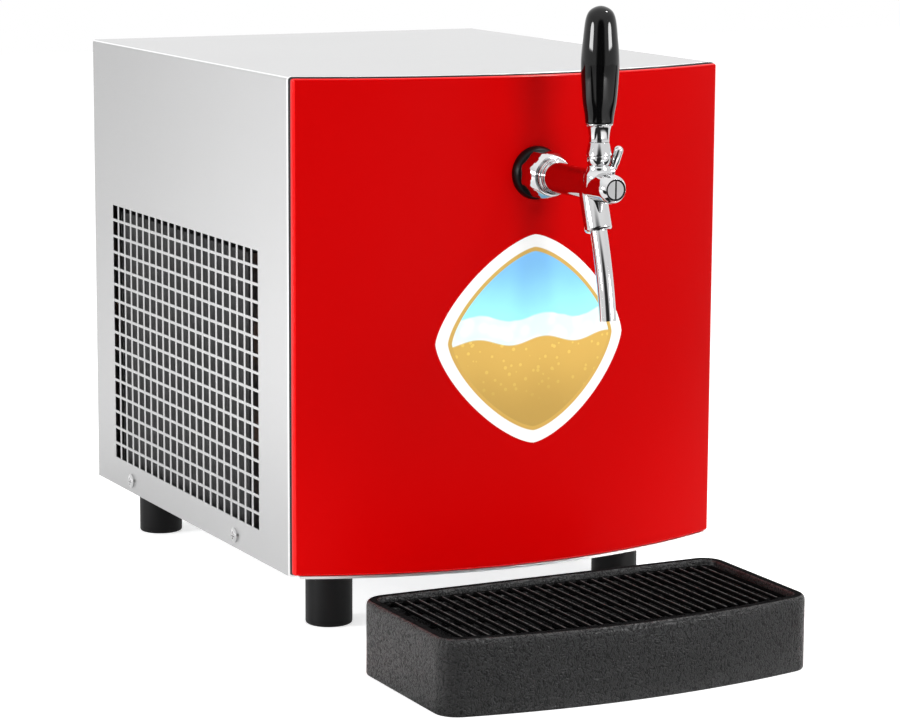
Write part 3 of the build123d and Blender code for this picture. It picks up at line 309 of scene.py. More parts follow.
def chrome_finish(name, rgb):
    """Plated metal: mirror gloss with faint wiping marks."""
    finish = Finish(name)
    wipes = finish.noise(120.0, 4.0, vector=finish.stretched((1.0, 1.0, 4.0)))
    specks = finish.noise(900.0, 2.0)
    finish.set(
        metallic=1.0,
        base_color=finish.mix(wipes, shade(rgb, 0.97), shade(rgb, 1.02)),
        roughness=0.035 + wipes.step(0.45, 0.8) * 0.05 + specks * 0.012,
    )
    return finish.material


# Looks of metal and of moulded plastic: scale and detail of the clouds and of the marks on them,
# the tones between which the clouds run, how far each changes the roughness, and the marks' strength
METAL = SimpleNamespace(
    clouds=(45.0, 4.0), marks=(600.0, 3.0), tones=(0.82, 1.08), spread=(0.16, 0.08), metallic=1.0, relief=0.4,
)
MOULDED = SimpleNamespace(
    clouds=(30.0, 3.0), marks=(1600.0, 3.0), tones=(0.88, 1.10), spread=(0.0, 0.14), metallic=0.0, relief=0.5,
)


def clouded_finish(name, rgb, roughness, look):
    """Metal or moulded plastic with a cloudy tone and fine tool marks."""
    finish = Finish(name)
    clouds, marks = finish.noise(*look.clouds), finish.noise(*look.marks)
    darker, lighter = (shade(rgb, tone) for tone in look.tones)
    finish.set(
        metallic=look.metallic,
        base_color=finish.mix(clouds, darker, lighter),
        roughness=roughness + (clouds - 0.5) * look.spread[0] + (marks - 0.5) * look.spread[1],
    )
    finish.bump(marks, 0.00004, look.relief)
    return finish.material


def red_film_finish(name, rgb):
    """Even coloured film with a faint orange peel and painted light towards the foot; its edges carry a
    painted highlight and are glossy.
    """
    finish = Finish(name)
    peel = finish.noise(420.0, 3.0)
    clouds = finish.noise(5.0, 2.0)
    x, _, z = finish.axes(finish.place())
    low, high = PANEL_LOW[2], PANEL_HIGH[2]
    edge_highlight, foot_painted_light = 1.7, 1.20
    flat = (1.0 - abs(x).near(HALF_WIDTH, 0.0022, 0.0014)) * z.step(low + 0.0010, low + 0.0016)
    flat = flat * (1.0 - z.near(high, 0.0022, 0.0017))
    film = finish.mix(clouds, shade(rgb, 0.97), shade(rgb, 1.03))
    # Painted light: the film is made lighter towards the foot
    film = finish.mix(z.step(low, high / 2), shade(rgb, foot_painted_light), film)
    finish.set(
        # Painted highlight: the rounded edges take a paler red than the flat face
        base_color=finish.mix(flat, shade(rgb, edge_highlight), film),
        roughness=0.30 + peel * 0.08,
        specular_ior_level=0.03,
        coat_weight=0.5 - flat * 0.5,
        coat_roughness=0.15,
    )
    finish.bump(peel, 0.00002, 0.35)
    return finish.material


# Looks of polished plastic, rubber and enamel: scale and detail of the relief and of the patches on it,
# where the patches begin and are full, how much of the pale shade they take, and how far each roughens
POLISHED = SimpleNamespace(
    relief=(55.0, 2.0), patches=(1500.0, 2.0), edges=(0.66, 0.80), cover=0.25, pale=4.0,
    spread=(0.04, 0.08), specular=0.30, bump=(0.00005, 0.2),
)
RUBBER = SimpleNamespace(
    relief=(1300.0, 3.0), patches=(70.0, 5.0), edges=(0.55, 0.80), cover=0.5, pale=2.2,
    spread=(0.14, 0.06), specular=0.16, bump=(0.00005, 0.5),
)
ENAMEL = SimpleNamespace(
    relief=(380.0, 3.0), patches=(90.0, 5.0), edges=(0.62, 0.78), cover=0.5, pale=1.9,
    spread=(0.12, 0.08), specular=0.22, bump=(0.00006, 0.4),
)


def worn_finish(name, rgb, roughness, look):
    """Dark surface with an even relief: ripples, tooth or peel, and paler patches of dust, scuffs or wear."""
    finish = Finish(name)
    relief = finish.noise(*look.relief)
    patches = finish.noise(*look.patches).step(*look.edges)
    finish.set(
        base_color=finish.mix(patches * look.cover, rgb, shade(rgb, look.pale)),
        roughness=roughness + relief * look.spread[0] + patches * look.spread[1],
        specular_ior_level=look.specular,
    )
    finish.bump(relief, *look.bump)
    return finish.material


def tray_finish(name, rgb):
    """Moulded plastic with leather grain: thin crooked grooves between ridges, the grooves darkened by
    painted shade, and a smooth matt rim.
    """
    finish = Finish(name)
    sway = finish.node("ShaderNodeTexNoise", inputs={"Vector": finish.place(), "Scale": 210.0}, output=1)
    shift = finish.node(
        "ShaderNodeVectorMath", {"operation": "MULTIPLY_ADD"},
        {0: sway, 1: (0.004, 0.004, 0.004), 2: finish.place()},
    )
    maze = abs(finish.noise(310.0, 1.0, 0.4, vector=shift) - 0.5)
    cells = finish.cells(420.0, "DISTANCE_TO_EDGE", vector=shift)
    grain = maze.step(0.010, 0.090) * 0.75 + cells.step(0.02, 0.16) * 0.25
    fine = finish.noise(2400.0, 2.0)
    _, _, z = finish.axes(finish.place())
    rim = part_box("drip_tray")[1][2]
    # Painted shade: the grain's grooves are made far darker than its ridges
    groove_painted_shade, ridge = shade(rgb, 0.25), shade(rgb, 1.05)
    finish.set(
        base_color=finish.mix(grain, groove_painted_shade, ridge),
        roughness=0.36 - grain * 0.10 + fine * 0.08,
        specular_ior_level=0.42,
    )
    finish.bump(grain + fine * 0.08, 0.0008, 1.0)
    smooth_top = z.near(rim, 0.0006, 0.0002)
    finish.dull(1.0 - (1.0 - smooth_top) * (0.50 + grain * 0.50), grain, groove_painted_shade, ridge)
    return finish.material


def wire_finish(name, rgb, crown):
    """Dipped wire with a painted highlight: a paler line along the tops of the bars, broken up by the peel.
    """
    finish = Finish(name)
    peel = finish.noise(380.0, 3.0)
    _, _, z = finish.axes(finish.place())
    top_highlight_grey, tint = (0.14, 0.14, 0.14), (0.2, 0.2, 0.2)
    # Painted highlight along the crown of each bar
    painted_top_highlight = z.near(crown, 0.00035, 0.0001) * peel.step(0.2, 0.6)
    finish.set(
        base_color=finish.mix(painted_top_highlight, rgb, top_highlight_grey),
        roughness=0.34 + (peel - 0.5) * 0.12,
        metallic=0.5,
        specular_ior_level=0.0,
        specular_tint=tint,
    )
    finish.bump(peel, 0.00006, 0.4)
    return finish.material


def foam_finish(name, rgb):
    """Rubber foam: closed cells and an uneven bloom."""
    finish = Finish(name)
    beads = finish.cells(380.0)
    clouds = finish.noise(25.0, 4.0)
    finish.set(
        base_color=finish.mix(clouds, shade(rgb, 0.86), rgb),
        roughness=0.78 + beads * 0.15,
    )
    finish.bump(beads, 0.0006, 0.6)
    return finish.material


FINISHES = {}


def finish_for(slot):
    """Material of a slot of the record, made once."""
    if slot not in FINISHES:
        tones = bpy.context.scene.dispenser_colours
        makers = {
            "stainless": (steel_finish, tones.steel, 0.36, 0.03),
            "red_panel": (red_film_finish, tones.red),
            "zinc": (clouded_finish, tones.zinc, 0.38, METAL),
            "foot_rubber": (worn_finish, tones.rubber, 0.42, RUBBER),
            "screw_steel": (chrome_finish, tones.steel),
            "rosette_black": (worn_finish, tones.black, 0.30, RUBBER),
            "tap_chrome": (chrome_finish, tones.chrome),
            "tap_brass": (clouded_finish, tones.brass, 0.30, METAL),
            "seal_rubber": (worn_finish, tones.rubber, 0.50, RUBBER),
            "handle_black": (worn_finish, tones.black, 0.02, POLISHED),
            "tray_black": (tray_finish, tones.tray),
            "grate_black": (worn_finish, tones.wire, 0.20, ENAMEL),
            "fin_aluminium": (clouded_finish, tones.fins, 0.5, MOULDED),
            "copper": (clouded_finish, tones.copper, 0.32, METAL),
            "compressor_black": (worn_finish, tones.rubber, 0.29, ENAMEL),
            "fan_plastic": (clouded_finish, tones.rubber, 0.5, MOULDED),
            "insulation": (foam_finish, tones.foam),
            "beer_tube": (clouded_finish, tones.pale, 0.25, MOULDED),
            "fitting_plastic": (clouded_finish, tones.pale, 0.4, MOULDED),
            "control_black": (clouded_finish, tones.rubber, 0.42, MOULDED),
        }
        make, *values = makers[slot]
        FINISHES[slot] = make(slot, *values)
    return FINISHES[slot]


# Shapes


def in_mm(sizes, *names):
    """Sizes of a group in millimetres."""
    return [getattr(sizes, name) / MM for name in names]


def joined(*parts):
    """Points from the arrays of their coordinates."""
    return np.stack(np.broadcast_arrays(*parts), axis=-1)


def polar(radius, turn, *height):
    """Points (r cos a, r sin a), with a height where one is given."""
    return joined(radius * np.cos(turn), radius * np.sin(turn), *height)


def full_turn(count):
    """Even angles once round."""
    return np.linspace(0, 2 * np.pi, count, endpoint=False)


def rounded(corners, radius, steps=5):
    """Open outline whose inner corners are parabolas, each with the corner as its control point."""
    corners = np.array(corners, dtype=float)
    corner = corners[1:-1]
    reach = np.broadcast_to(np.reshape(radius, (-1, 1)), (len(corner), 1))

    def towards(end):
        way = end - corner
        span = np.linalg.norm(way, axis=1, keepdims=True)
        return (corner + way / span * np.minimum(reach, span / 2))[:, None]

    t = np.linspace(0, 1, steps)[None, :, None]
    start, stop = towards(corners[:-2]), towards(corners[2:])
    curve = (1 - t)**2 * start + 2 * t * (1 - t) * corner[:, None] + t**2 * stop
    return np.concatenate([corners[:1], curve.reshape(-1, 2), corners[-1:]])


def smooth(knots, steps=10):
    """Catmull-Rom curve through the inner knots; the first and the last only aim its ends."""
    knots = np.array(knots, dtype=float)
    a, b, c, d = (knots[i:len(knots) - 3 + i, None] for i in range(4))
    t = np.linspace(0, 1, steps, endpoint=False)[None, :, None]
    curve = b + t / 2 * (c - a + t * (2 * a - 5 * b + 4 * c - d + t * (3 * (b - c) + d - a)))
    return np.concatenate([curve.reshape(-1, knots.shape[1]), knots[-2:-1]])


def turned(profile, sides=SIDES):
    """Surface of revolution: a point (r, h) of the profile goes round as (r cos a, r sin a, h)."""
    r, h = np.array(profile).T[:, :, None]
    return polar(r, full_turn(sides), h)


def placed(points, origin, ahead=(0, 0, 1), level=(1, 0, 0)):
    """Points in millimetres at a place in metres, their Z axis along one direction and X along another."""
    axes = np.stack([level, np.cross(ahead, level), ahead])
    return np.array(origin) + MM * (points @ axes)


def swept(path, section, side, capped=False):
    """Sweep of a section (a, b) along points p: p + a side + b (tangent x side); caps end in a point."""
    along = np.gradient(path, axis=0)
    along = along / np.linalg.norm(along, axis=1, keepdims=True)
    side = np.broadcast_to(side, path.shape)
    a, b = np.array(section).T[:, :, None]
    skin = path[:, None] + a * side[:, None] + b * np.cross(along, side)[:, None]
    if not capped:
        return skin
    first, last = (np.broadcast_to(end, (1, *skin.shape[1:])) for end in path[[0, -1]])
    return np.concatenate([first, skin, last])


def circle(radius, sides=16):
    """Round section."""
    return polar(radius, full_turn(sides))


def bowed(x, bow):
    """How far the front stands back from its crown: an arc through the crown and both edges."""
    radius = (HALF_WIDTH**2 + bow**2) / (2 * bow)
    return radius - np.sqrt(radius**2 - x**2)


def grid_faces(rows, columns, closed):
    """Corner numbers of a grid's quads; a closed grid joins its last column to the first."""
    row, column = np.meshgrid(np.arange(rows - 1), np.arange(columns - (not closed)), indexing="ij")
    after = (column + 1) % columns
    corners = [row * columns + column, row * columns + after]
    corners += [(row + 1) * columns + after, (row + 1) * columns + column]
    return np.stack(corners, axis=-1).reshape(-1, 4)


def add_object(name, data):
    """Object in the scene."""
    made = bpy.data.objects.new(name, data)
    bpy.context.scene.collection.objects.link(made)
    return made


def piece(name, grids, body, slot, replaced=(), finish=None, open_grids=(), crease=32.0):
    """Object made of grids of points, welded where they meet, that rides on a body."""
    points, faces, count = [], [], 0
    for closed, group in ((True, grids), (False, open_grids)):
        for grid in group:
            faces.append(grid_faces(*grid.shape[:2], closed) + count)
            points.append(grid.reshape(-1, 3))
            count += len(points[-1])
    mesh = bpy.data.meshes.new(name)
    mesh.from_pydata(np.concatenate(points).tolist(), [], np.concatenate(faces).tolist())
    weld = bmesh.new()
    weld.from_mesh(mesh)
    bmesh.ops.remove_doubles(weld, verts=weld.verts, dist=1e-6)
    bmesh.ops.recalc_face_normals(weld, faces=weld.faces)
    weld.to_mesh(mesh)
    weld.free()
    mesh.polygons.foreach_set("use_smooth", np.ones(len(mesh.polygons), dtype=bool))
    mesh.set_sharp_from_angle(angle=math.radians(crease))
    mesh.materials.append(finish or finish_for(slot))
    made = add_object(name, mesh)
    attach(made, body)
    if replaced:
        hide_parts(*replaced)
    return made


# Front


class FrontSizes(bpy.types.PropertyGroup):
    """Front panel, its printed emblem, the feet and the screws."""

    bow: length("Bow", "How far the crown stands out from the edges", 0.045)
    thickness: length("Thickness", "Depth of the panel", 0.004)
    edge: length("Edge", "Rounding of the panel's edges and corners", 0.0024)
    top_gap: length("Top gap", "Panel's upper edge below the casing's top", 0.0010)
    columns: IntProperty(name="Columns", description="Strips across the panel", default=72)
    emblem_reach: length("Emblem reach", "From the emblem's middle to each of its points", 0.089)
    emblem_height: length("Emblem height", "Middle of the emblem above the counter", 0.247)
    emblem_power: FloatProperty(
        name="Emblem power", description="Power of the emblem's outline", default=1.45
    )
    film: length("Film", "Thickness of the printed film", 0.00016)
    foot_edge: length("Foot edge", "Rounding under a foot", 0.0022)
    screw_radius: length("Screw radius", "Head of a casing screw", 0.0065)
    screw_height: length("Screw height", "Dome of a casing screw", 0.0026)
    back_screw_radius: length("Back screw radius", "Head of a back panel screw", 0.0045)
    back_screw_height: length("Back screw height", "Dome of a back panel screw", 0.0022)


def emblem_finish(name, sizes, tones):
    """Printed film: white border, sky over a wavy head of foam over gold with plain bubbles."""
    finish = Finish(name)
    x, _, z = finish.axes(finish.place())
    # From here x and z run from -1 to 1 between the emblem's points
    x, z = x / sizes.emblem_reach, (z - sizes.emblem_height) / sizes.emblem_reach
    power = sizes.emblem_power
    spread = (abs(x)**power + abs(z)**power)**(1 / power)
    wave = finish.node("ShaderNodeMath", {"operation": "SINE"}, {0: x * 9.0 + 0.6})
    level = z - wave * 0.035
    bubbles = finish.cells(150.0)
    rise = finish.noise(30.0, 2.0)
    gold = finish.mix(bubbles.step(0.20, 0.26), shade(tones.print_gold, 1.5), tones.print_gold)
    gold = finish.mix(level.step(-0.75, -0.05) * 0.5, shade(tones.print_gold, 0.62), gold)
    sky = finish.mix(level.step(0.15, 0.8), shade(tones.print_blue, 1.7), tones.print_blue)
    curds = finish.cells(95.0, "SMOOTH_F1")
    foam = finish.mix(curds.step(0.1, 0.6) * 0.35, tones.print_white, shade(tones.print_blue, 1.9))
    picture = finish.mix(level.step(-0.02, 0.0), gold, foam)
    picture = finish.mix((level - rise * 0.10).step(0.16, 0.18), picture, sky)
    picture = finish.mix(spread.step(0.835, 0.845), picture, shade(tones.print_gold, 0.75))
    picture = finish.mix(spread.step(0.875, 0.885), picture, tones.print_white)
    finish.set(base_color=picture, roughness=0.30 + rise * 0.06, specular_ior_level=0.15)
    return finish.material


class DISPENSER_OT_front(bpy.types.Operator):
    """Bowed front panel and its printed emblem"""

    bl_idname = "dispenser.front"
    bl_label = "Front panel"

    def execute(self, context):
        sizes = context.scene.dispenser_front
        self.panel(sizes)
        self.emblem(sizes, context.scene.dispenser_colours)
        return {"FINISHED"}

    def panel(self, sizes):
        """Arc across the width; at the edges a quarter round of offset e sin t and depth e (1 - cos t)."""
        edge = sizes.edge
        x = np.linspace(-HALF_WIDTH + edge, HALF_WIDTH - edge, sizes.columns + 1)
        z = np.linspace(PANEL_LOW[2] + edge, PANEL_HIGH[2] - sizes.top_gap - edge, 9)
        corner_turn = np.linspace(0, np.pi / 2, 7)[1:-1]

        def run(a, b, start):
            side, fan = joined(a, b), start + corner_turn
            base = np.concatenate([side, np.repeat(side[-1:], len(fan), axis=0)])
            return base, np.concatenate([np.full(len(side), start), fan])

        sides = [run(x, z[:1], -np.pi / 2), run(x[-1:], z, 0.0)]
        sides += [run(x[::-1], z[-1:], np.pi / 2), run(x[:1], z[::-1], np.pi)]
        base, turn = (np.concatenate(parts) for parts in zip(*sides))
        outward = polar(1.0, turn)
        arc = np.linspace(0, np.pi / 2, 8)
        offset = np.concatenate([edge * np.sin(arc), [edge, 0.0]])
        depth = np.concatenate([edge * (1 - np.cos(arc)), [sizes.thickness, sizes.thickness]])

        def on_front(plan, back):
            across, up = plan[..., 0], plan[..., 1]
            y = FRONT_Y + bowed(np.clip(across, -HALF_WIDTH, HALF_WIDTH), sizes.bow) + back
            return joined(across, y, up)

        rim = on_front(base + offset[:, None, None] * outward, depth[:, None])
        plan = joined(*np.meshgrid(x, z))
        faces = [on_front(plan, 0.0), on_front(plan, sizes.thickness)]
        piece("front_panel_skin", [rim], "cabinet", "red_panel", ["front_panel"], open_grids=faces)

    def emblem(self, sizes, tones):
        """Soft diamond |x|^p + |z|^p = a^p filled by rings, laid on the panel's arc."""
        turn = full_turn(160)
        power = sizes.emblem_power
        reach = (np.abs(np.cos(turn))**power + np.abs(np.sin(turn))**power)**(-1 / power)
        share = np.linspace(0, 1, 14)
        share = np.concatenate([share, share[::-1]])[:, None]
        front = np.arange(len(share))[:, None] < len(share) / 2
        x = sizes.emblem_reach * share * reach * np.cos(turn)
        z = sizes.emblem_height + sizes.emblem_reach * share * reach * np.sin(turn)
        y = FRONT_Y + bowed(x, sizes.bow) + np.where(front, -sizes.film, sizes.film)
        finish = emblem_finish("emblem_print", sizes, tones)
        piece("front_emblem", [joined(x, y, z)], "cabinet", "red_panel", finish=finish)


class DISPENSER_OT_feet(bpy.types.Operator):
    """Four turned rubber feet"""

    bl_idname = "dispenser.feet"
    bl_label = "Feet"

    def execute(self, context):
        sizes = context.scene.dispenser_front
        for node in ("foot_front_left", "foot_front_right", "foot_rear_left", "foot_rear_right"):
            low, high = (np.array(corner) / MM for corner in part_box(node))
            radius, height = (high - low)[1:] / (2, 1)
            edge = sizes.foot_edge / MM
            hollow = radius * 0.4
            profile = rounded([
                (0, edge), (hollow, edge), (hollow, 0), (radius, 0), (radius, height), (0, height),
            ], (0.4, 0.4, edge, 0.3))
            middle = MM * np.array([*(low + high)[:2] / 2, low[2]])
            piece(f"{node}_turned", [placed(turned(profile), middle)], "cabinet", "foot_rubber", [node])
        return {"FINISHED"}


def screw_head(radius, height):
    """Dome over a polar grid, h (1 - d (r / R)^3), with a cross-shaped pit that fades to its ends."""
    droop, pit_depth = 0.45, 0.62
    arm_half, arm_slope, arm_reach, end_slope = 0.17, 0.04, 0.56, 0.12
    share = np.linspace(0, 1, 22)[:, None]
    turn = full_turn(SIDES)
    x, y = share * np.cos(turn), share * np.sin(turn)
    near, far = np.minimum(abs(x), abs(y)), np.maximum(abs(x), abs(y))
    pit = np.clip((arm_half - near) / arm_slope, 0, 1) * np.clip((arm_reach - far) / end_slope, 0, 1)
    dome = 1.0 - share**3.0 * droop
    top = joined(radius * x, radius * y, height * (dome - pit_depth * pit))
    foot = polar(radius * np.array([1.0, 0.0])[:, None], turn, 0.0)
    return np.concatenate([top, foot])


class DISPENSER_OT_screws(bpy.types.Operator):
    """Cross-recess screws of the casing and the back panel"""

    bl_idname = "dispenser.screws"
    bl_label = "Screws"

    def execute(self, context):
        sizes = context.scene.dispenser_front
        low, high = (np.array(corner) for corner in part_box("casing_screws"))
        radius, height = sizes.screw_radius, sizes.screw_height
        head = screw_head(radius, height) / MM
        z = (low[2] + high[2]) / 2
        heads = [
            placed(head, (side * HALF_WIDTH, y, z), (side, 0, 0), (0, 1, 0))
            for side in (-1, 1) for y in (low[1] + radius, high[1] - radius)
        ]
        piece("casing_screw_heads", heads, "cabinet", "screw_steel", ["casing_screws"])
        low, high = (np.array(corner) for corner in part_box("back_panel_screws"))
        radius, height = sizes.back_screw_radius, sizes.back_screw_height
        head = screw_head(radius, height) / MM
        heads = [
            placed(head, (x, high[1] - height, z), (0, 1, 0))
            for x in (low[0] + radius, high[0] - radius)
            for z in np.linspace(low[2] + radius, high[2] - radius, 3)
        ]
        piece("back_screw_heads", heads, "cabinet", "screw_steel", ["back_panel_screws"])
        return {"FINISHED"}


# Tap

# Outlines in millimetres as (radius, distance along the axis)
ROSETTE_OUTLINE = ((13.2, -1.0), (22.5, -1.0), (22.5, 3.6), (20.2, 8.0), (13.2, 8.0), (13.2, -1.0))
ROSETTE_EDGES = (0.3, 2.6, 1.6, 0.6)
BARREL_OUTLINE = (
    (0.0, 22.0), (10.4, 22.0), (10.4, 30.3), (15.2, 30.3), (15.2, 33.7), (13.7, 34.1), (13.7, 37.2),
    (12.6, 37.6), (12.2, 130.5), (8.8, 135.0), (8.7, 133.2), (0.0, 133.2),
)
BARREL_EDGES = (0.2, 0.2, 0.7, 0.7, 0.3, 0.6, 0.4, 5.0, 0.25, 0.1)
TURRET_OUTLINE = ((0.0, 0.0), (12.6, 0.0), (12.2, 9.0), (9.4, 13.0), (9.2, 16.6), (7.2, 17.4), (0.0, 17.4))
TURRET_EDGES = (0.2, 1.0, 2.4, 1.6, 0.6)
SLEEVE_OUTLINE = ((0.0, 0.0), (11.2, 0.0), (11.2, 37.0), (9.8, 38.6), (6.9, 38.6), (6.9, 34.0), (0.0, 34.0))
SLEEVE_EDGES = (0.2, 0.8, 0.8, 0.2, 0.2)


class TapSizes(bpy.types.PropertyGroup):
    """Coupling nut, spout and end plug of the tap."""

    nut_flats: length("Nut flats", "Across the flats of the coupling nut", 0.0376)
    nut_sides: IntProperty(name="Nut sides", description="Flats of the coupling nut", default=8)
    nut_start: length("Nut start", "From the panel to the nut", 0.0083)
    nut_length: length("Nut length", "Along the tap's axis", 0.0217)
    nut_bore: length("Nut bore", "Radius round the tap's neck", 0.0105)
    spout_start: length("Spout start", "From the panel to the sleeve's axis", 0.095)
    spout_lean: angle("Spout lean", "Lean of the sleeve from upright", 19.3)
    spout_end_lean: angle("Spout end lean", "Lean of the spout's mouth", 8.0)
    spout_radius: length("Spout radius", "Outside of the spout", 0.0069)
    spout_wall: length("Spout wall", "Wall of the spout", 0.001)
    spout_root: length("Spout root", "Along the sleeve to the spout's hidden end", 0.0236)
    spout_insert: length("Spout insert", "Straight part inside the sleeve", 0.015)
    spout_length: length("Spout length", "Bent part outside the sleeve", 0.073)
    plug_radius: length("Plug radius", "Slotted end plug", 0.0073)
    plug_reach: length("Plug reach", "From the panel to the plug's face", 0.1345)
    plug_depth: length("Plug depth", "Height of the plug", 0.0045)
    slot_half: length("Slot half", "Half the width of the plug's slot", 0.0009)
    slot_depth: length("Slot depth", "Depth of the plug's slot", 0.0026)


def on_tap(points):
    """Points in millimetres about the tap's axis, which runs forward from the panel's crown."""
    return placed(points, (0, FRONT_Y, TAP_Z), (0, -1, 0))


class DISPENSER_OT_tap(bpy.types.Operator):
    """Rosette, coupling nut and tap body"""

    bl_idname = "dispenser.tap"
    bl_label = "Tap"

    def execute(self, context):
        sizes = context.scene.dispenser_tap
        rosette = on_tap(turned(rounded(ROSETTE_OUTLINE, ROSETTE_EDGES)))
        piece("rosette_turned", [rosette], "cabinet", "rosette_black", ["rosette"])
        piece("coupling_nut_cut", [self.nut(sizes)], "cabinet", "tap_chrome", ["coupling_nut"], crease=20.0)
        barrel = on_tap(turned(rounded(BARREL_OUTLINE, BARREL_EDGES, 9)))
        turret = placed(turned(rounded(TURRET_OUTLINE, TURRET_EDGES)), (0, TURRET_Y, TAP_Z))
        origin, ahead = spout_axis(sizes)
        sleeve = placed(turned(rounded(SLEEVE_OUTLINE, SLEEVE_EDGES)), origin, ahead)
        piece("tap_body_cast", [barrel, turret, sleeve], "cabinet", "tap_chrome", ["tap_body"])
        return {"FINISHED"}

    def nut(self, sizes):
        """Octagon a / cos(angle from the flat's middle), cut down by a chamfer that depends on the length."""
        flats, span, bore = in_mm(sizes, "nut_flats", "nut_length", "nut_bore")
        clear, back_cut, back_run, front_cut, front_run = 0.2, 1.8, 2.0, 3.7, 6.6
        part = 2 * np.pi / sizes.nut_sides
        turn = full_turn(sizes.nut_sides * 16)
        octagon = flats / 2 / np.cos((turn + part / 2) % part - part / 2)
        corner = octagon.max()
        outline = rounded([
            (bore, 0.0), (corner - back_cut, 0.0), (corner + clear, back_run),
            (corner + clear, span - front_run), (corner - front_cut, span), (bore, span), (bore, 0.0),
        ], (0.4, 0.6, 2.0, 0.5, 0.2), 6)
        knot = np.arange(len(outline))
        place = np.linspace(0, knot[-1], 90)
        even = np.stack([np.interp(place, knot, column) for column in outline.T], axis=1)
        envelope, rise = np.concatenate([even, outline[-1:]]).T[:, :, None]
        return on_tap(polar(np.minimum(octagon, envelope), turn, rise) + (0, 0, sizes.nut_start / MM))


def spout_axis(sizes):
    """Place on the barrel's axis and direction of the spout's sleeve."""
    lean = sizes.spout_lean
    return (0, FRONT_Y - sizes.spout_start, TAP_Z), (0, -math.sin(lean), -math.cos(lean))


class DISPENSER_OT_spout(bpy.types.Operator):
    """Bent spout tube with its bore"""

    bl_idname = "dispenser.spout"
    bl_label = "Spout"

    def execute(self, context):
        """Circle along a path, straight in the sleeve and then bent at an even rate; out and back in."""
        sizes = context.scene.dispenser_tap
        origin, ahead = spout_axis(sizes)
        run = np.linspace(0, sizes.spout_insert + sizes.spout_length, 60)
        bend = np.clip((run - sizes.spout_insert) / sizes.spout_length, 0, 1)
        lean = sizes.spout_lean + (sizes.spout_end_lean - sizes.spout_lean) * bend
        step = np.diff(run, prepend=run[0])
        way = joined(0.0, -np.sin(lean), -np.cos(lean)) * step[:, None]
        path = np.array(origin) + sizes.spout_root * np.array(ahead) + np.cumsum(way, axis=0)
        outside = swept(path, circle(sizes.spout_radius, 64), (1, 0, 0))
        inside = swept(path, circle(sizes.spout_radius - sizes.spout_wall, 64), (1, 0, 0))
        tube = np.concatenate([outside, inside[::-1], outside[:1]])
        piece("spout_tube", [tube], "cabinet", "tap_chrome", ["spout"])
        return {"FINISHED"}


class DISPENSER_OT_plug(bpy.types.Operator):
    """Slotted end plug and its seal"""

    bl_idname = "dispenser.plug"
    bl_label = "End plug"

    def execute(self, context):
        """Disc ruled by chords; the chords between the slot's edges lie deeper. The seal is a turned ring."""
        sizes = context.scene.dispenser_tap
        radius, reach, depth, half, slot = in_mm(
            sizes, "plug_radius", "plug_reach", "plug_depth", "slot_half", "slot_depth"
        )
        swing = np.linspace(math.asin(half / radius), np.pi / 2, 16)
        beside = radius * np.sin(swing)
        floor = np.array([-half, 0.0, half])
        v = np.concatenate([-beside[::-1], floor, beside])[:, None]
        deep = np.concatenate([0 * beside, slot + 0 * floor, 0 * beside])[:, None]
        across = np.linspace(-1, 1, 25)
        chord = np.sqrt(np.maximum(radius**2 - v**2, 0))
        top = joined(-v, across * chord, reach - deep)
        under = joined(-v, across[::-1] * chord, reach - depth)
        plug = np.concatenate([top, under], axis=1)
        piece("end_plug_slotted", [on_tap(plug)], "cabinet", "tap_chrome", ["end_plug"])
        low, high = reach - depth / 3, reach + slot / 8
        rim = radius + 1.3
        ring = [(radius, low), (rim, low), (rim, high), (radius, high), (radius, low)]
        seal = on_tap(turned(rounded(ring, 0.7)))
        piece("end_plug_ring", [seal], "cabinet", "seal_rubber", ["end_plug_seal"])
        return {"FINISHED"}


# Lever

# Outlines in millimetres as (radius, height)
FERRULE_KNOTS = ((8.5, -4.0), (8.3, 0.4), (8.2, 3.6), (8.7, 8.4), (9.6, 12.0), (10.4, 13.4), (11.0, 14.4))
HANDLE_KNOTS = (
    (13.6, -19.0), (11.4, 0.6), (13.98, 19.7), (15.5, 47.9), (13.8, 70.5), (11.8, 84.6), (7.8, 91.2),
    (0.0, 94.0), (-7.8, 91.2),
)


class LeverSizes(bpy.types.PropertyGroup):
    """Lever above the tap, and the flow lever on its right."""

    stem_radius: length("Stem radius", "Bore of the bell and the ferrule", 0.0031)
    ball_radius: length("Ball radius", "Inside of the bell over the bonnet", 0.0099)
    bell_rim: length("Bell rim", "Radius of the bell's rim", 0.0103)
    bell_rim_rise: length("Bell rim rise", "Rim above the pivot", 0.0026)
    bell_top: length("Bell top", "Radius of the bell's top", 0.0082)
    bell_rise: length("Bell rise", "Top of the bell above the pivot", 0.0134)
    ferrule_rim: length("Ferrule rim", "Radius of the rim under the handle", 0.0110)
    ferrule_length: length("Ferrule length", "From the bell to the handle", 0.015)
    hub_radius: length("Hub radius", "Hub of the flow lever", 0.0043)
    hub_length: length("Hub length", "Length of the hub", 0.005)
    stub_radius: length("Stub radius", "Stub of the flow lever", 0.0040)
    stub_length: length("Stub length", "Straight part of the stub", 0.015)
    stub_lean: angle("Stub lean", "Lean of the stub to the right", 20.0)


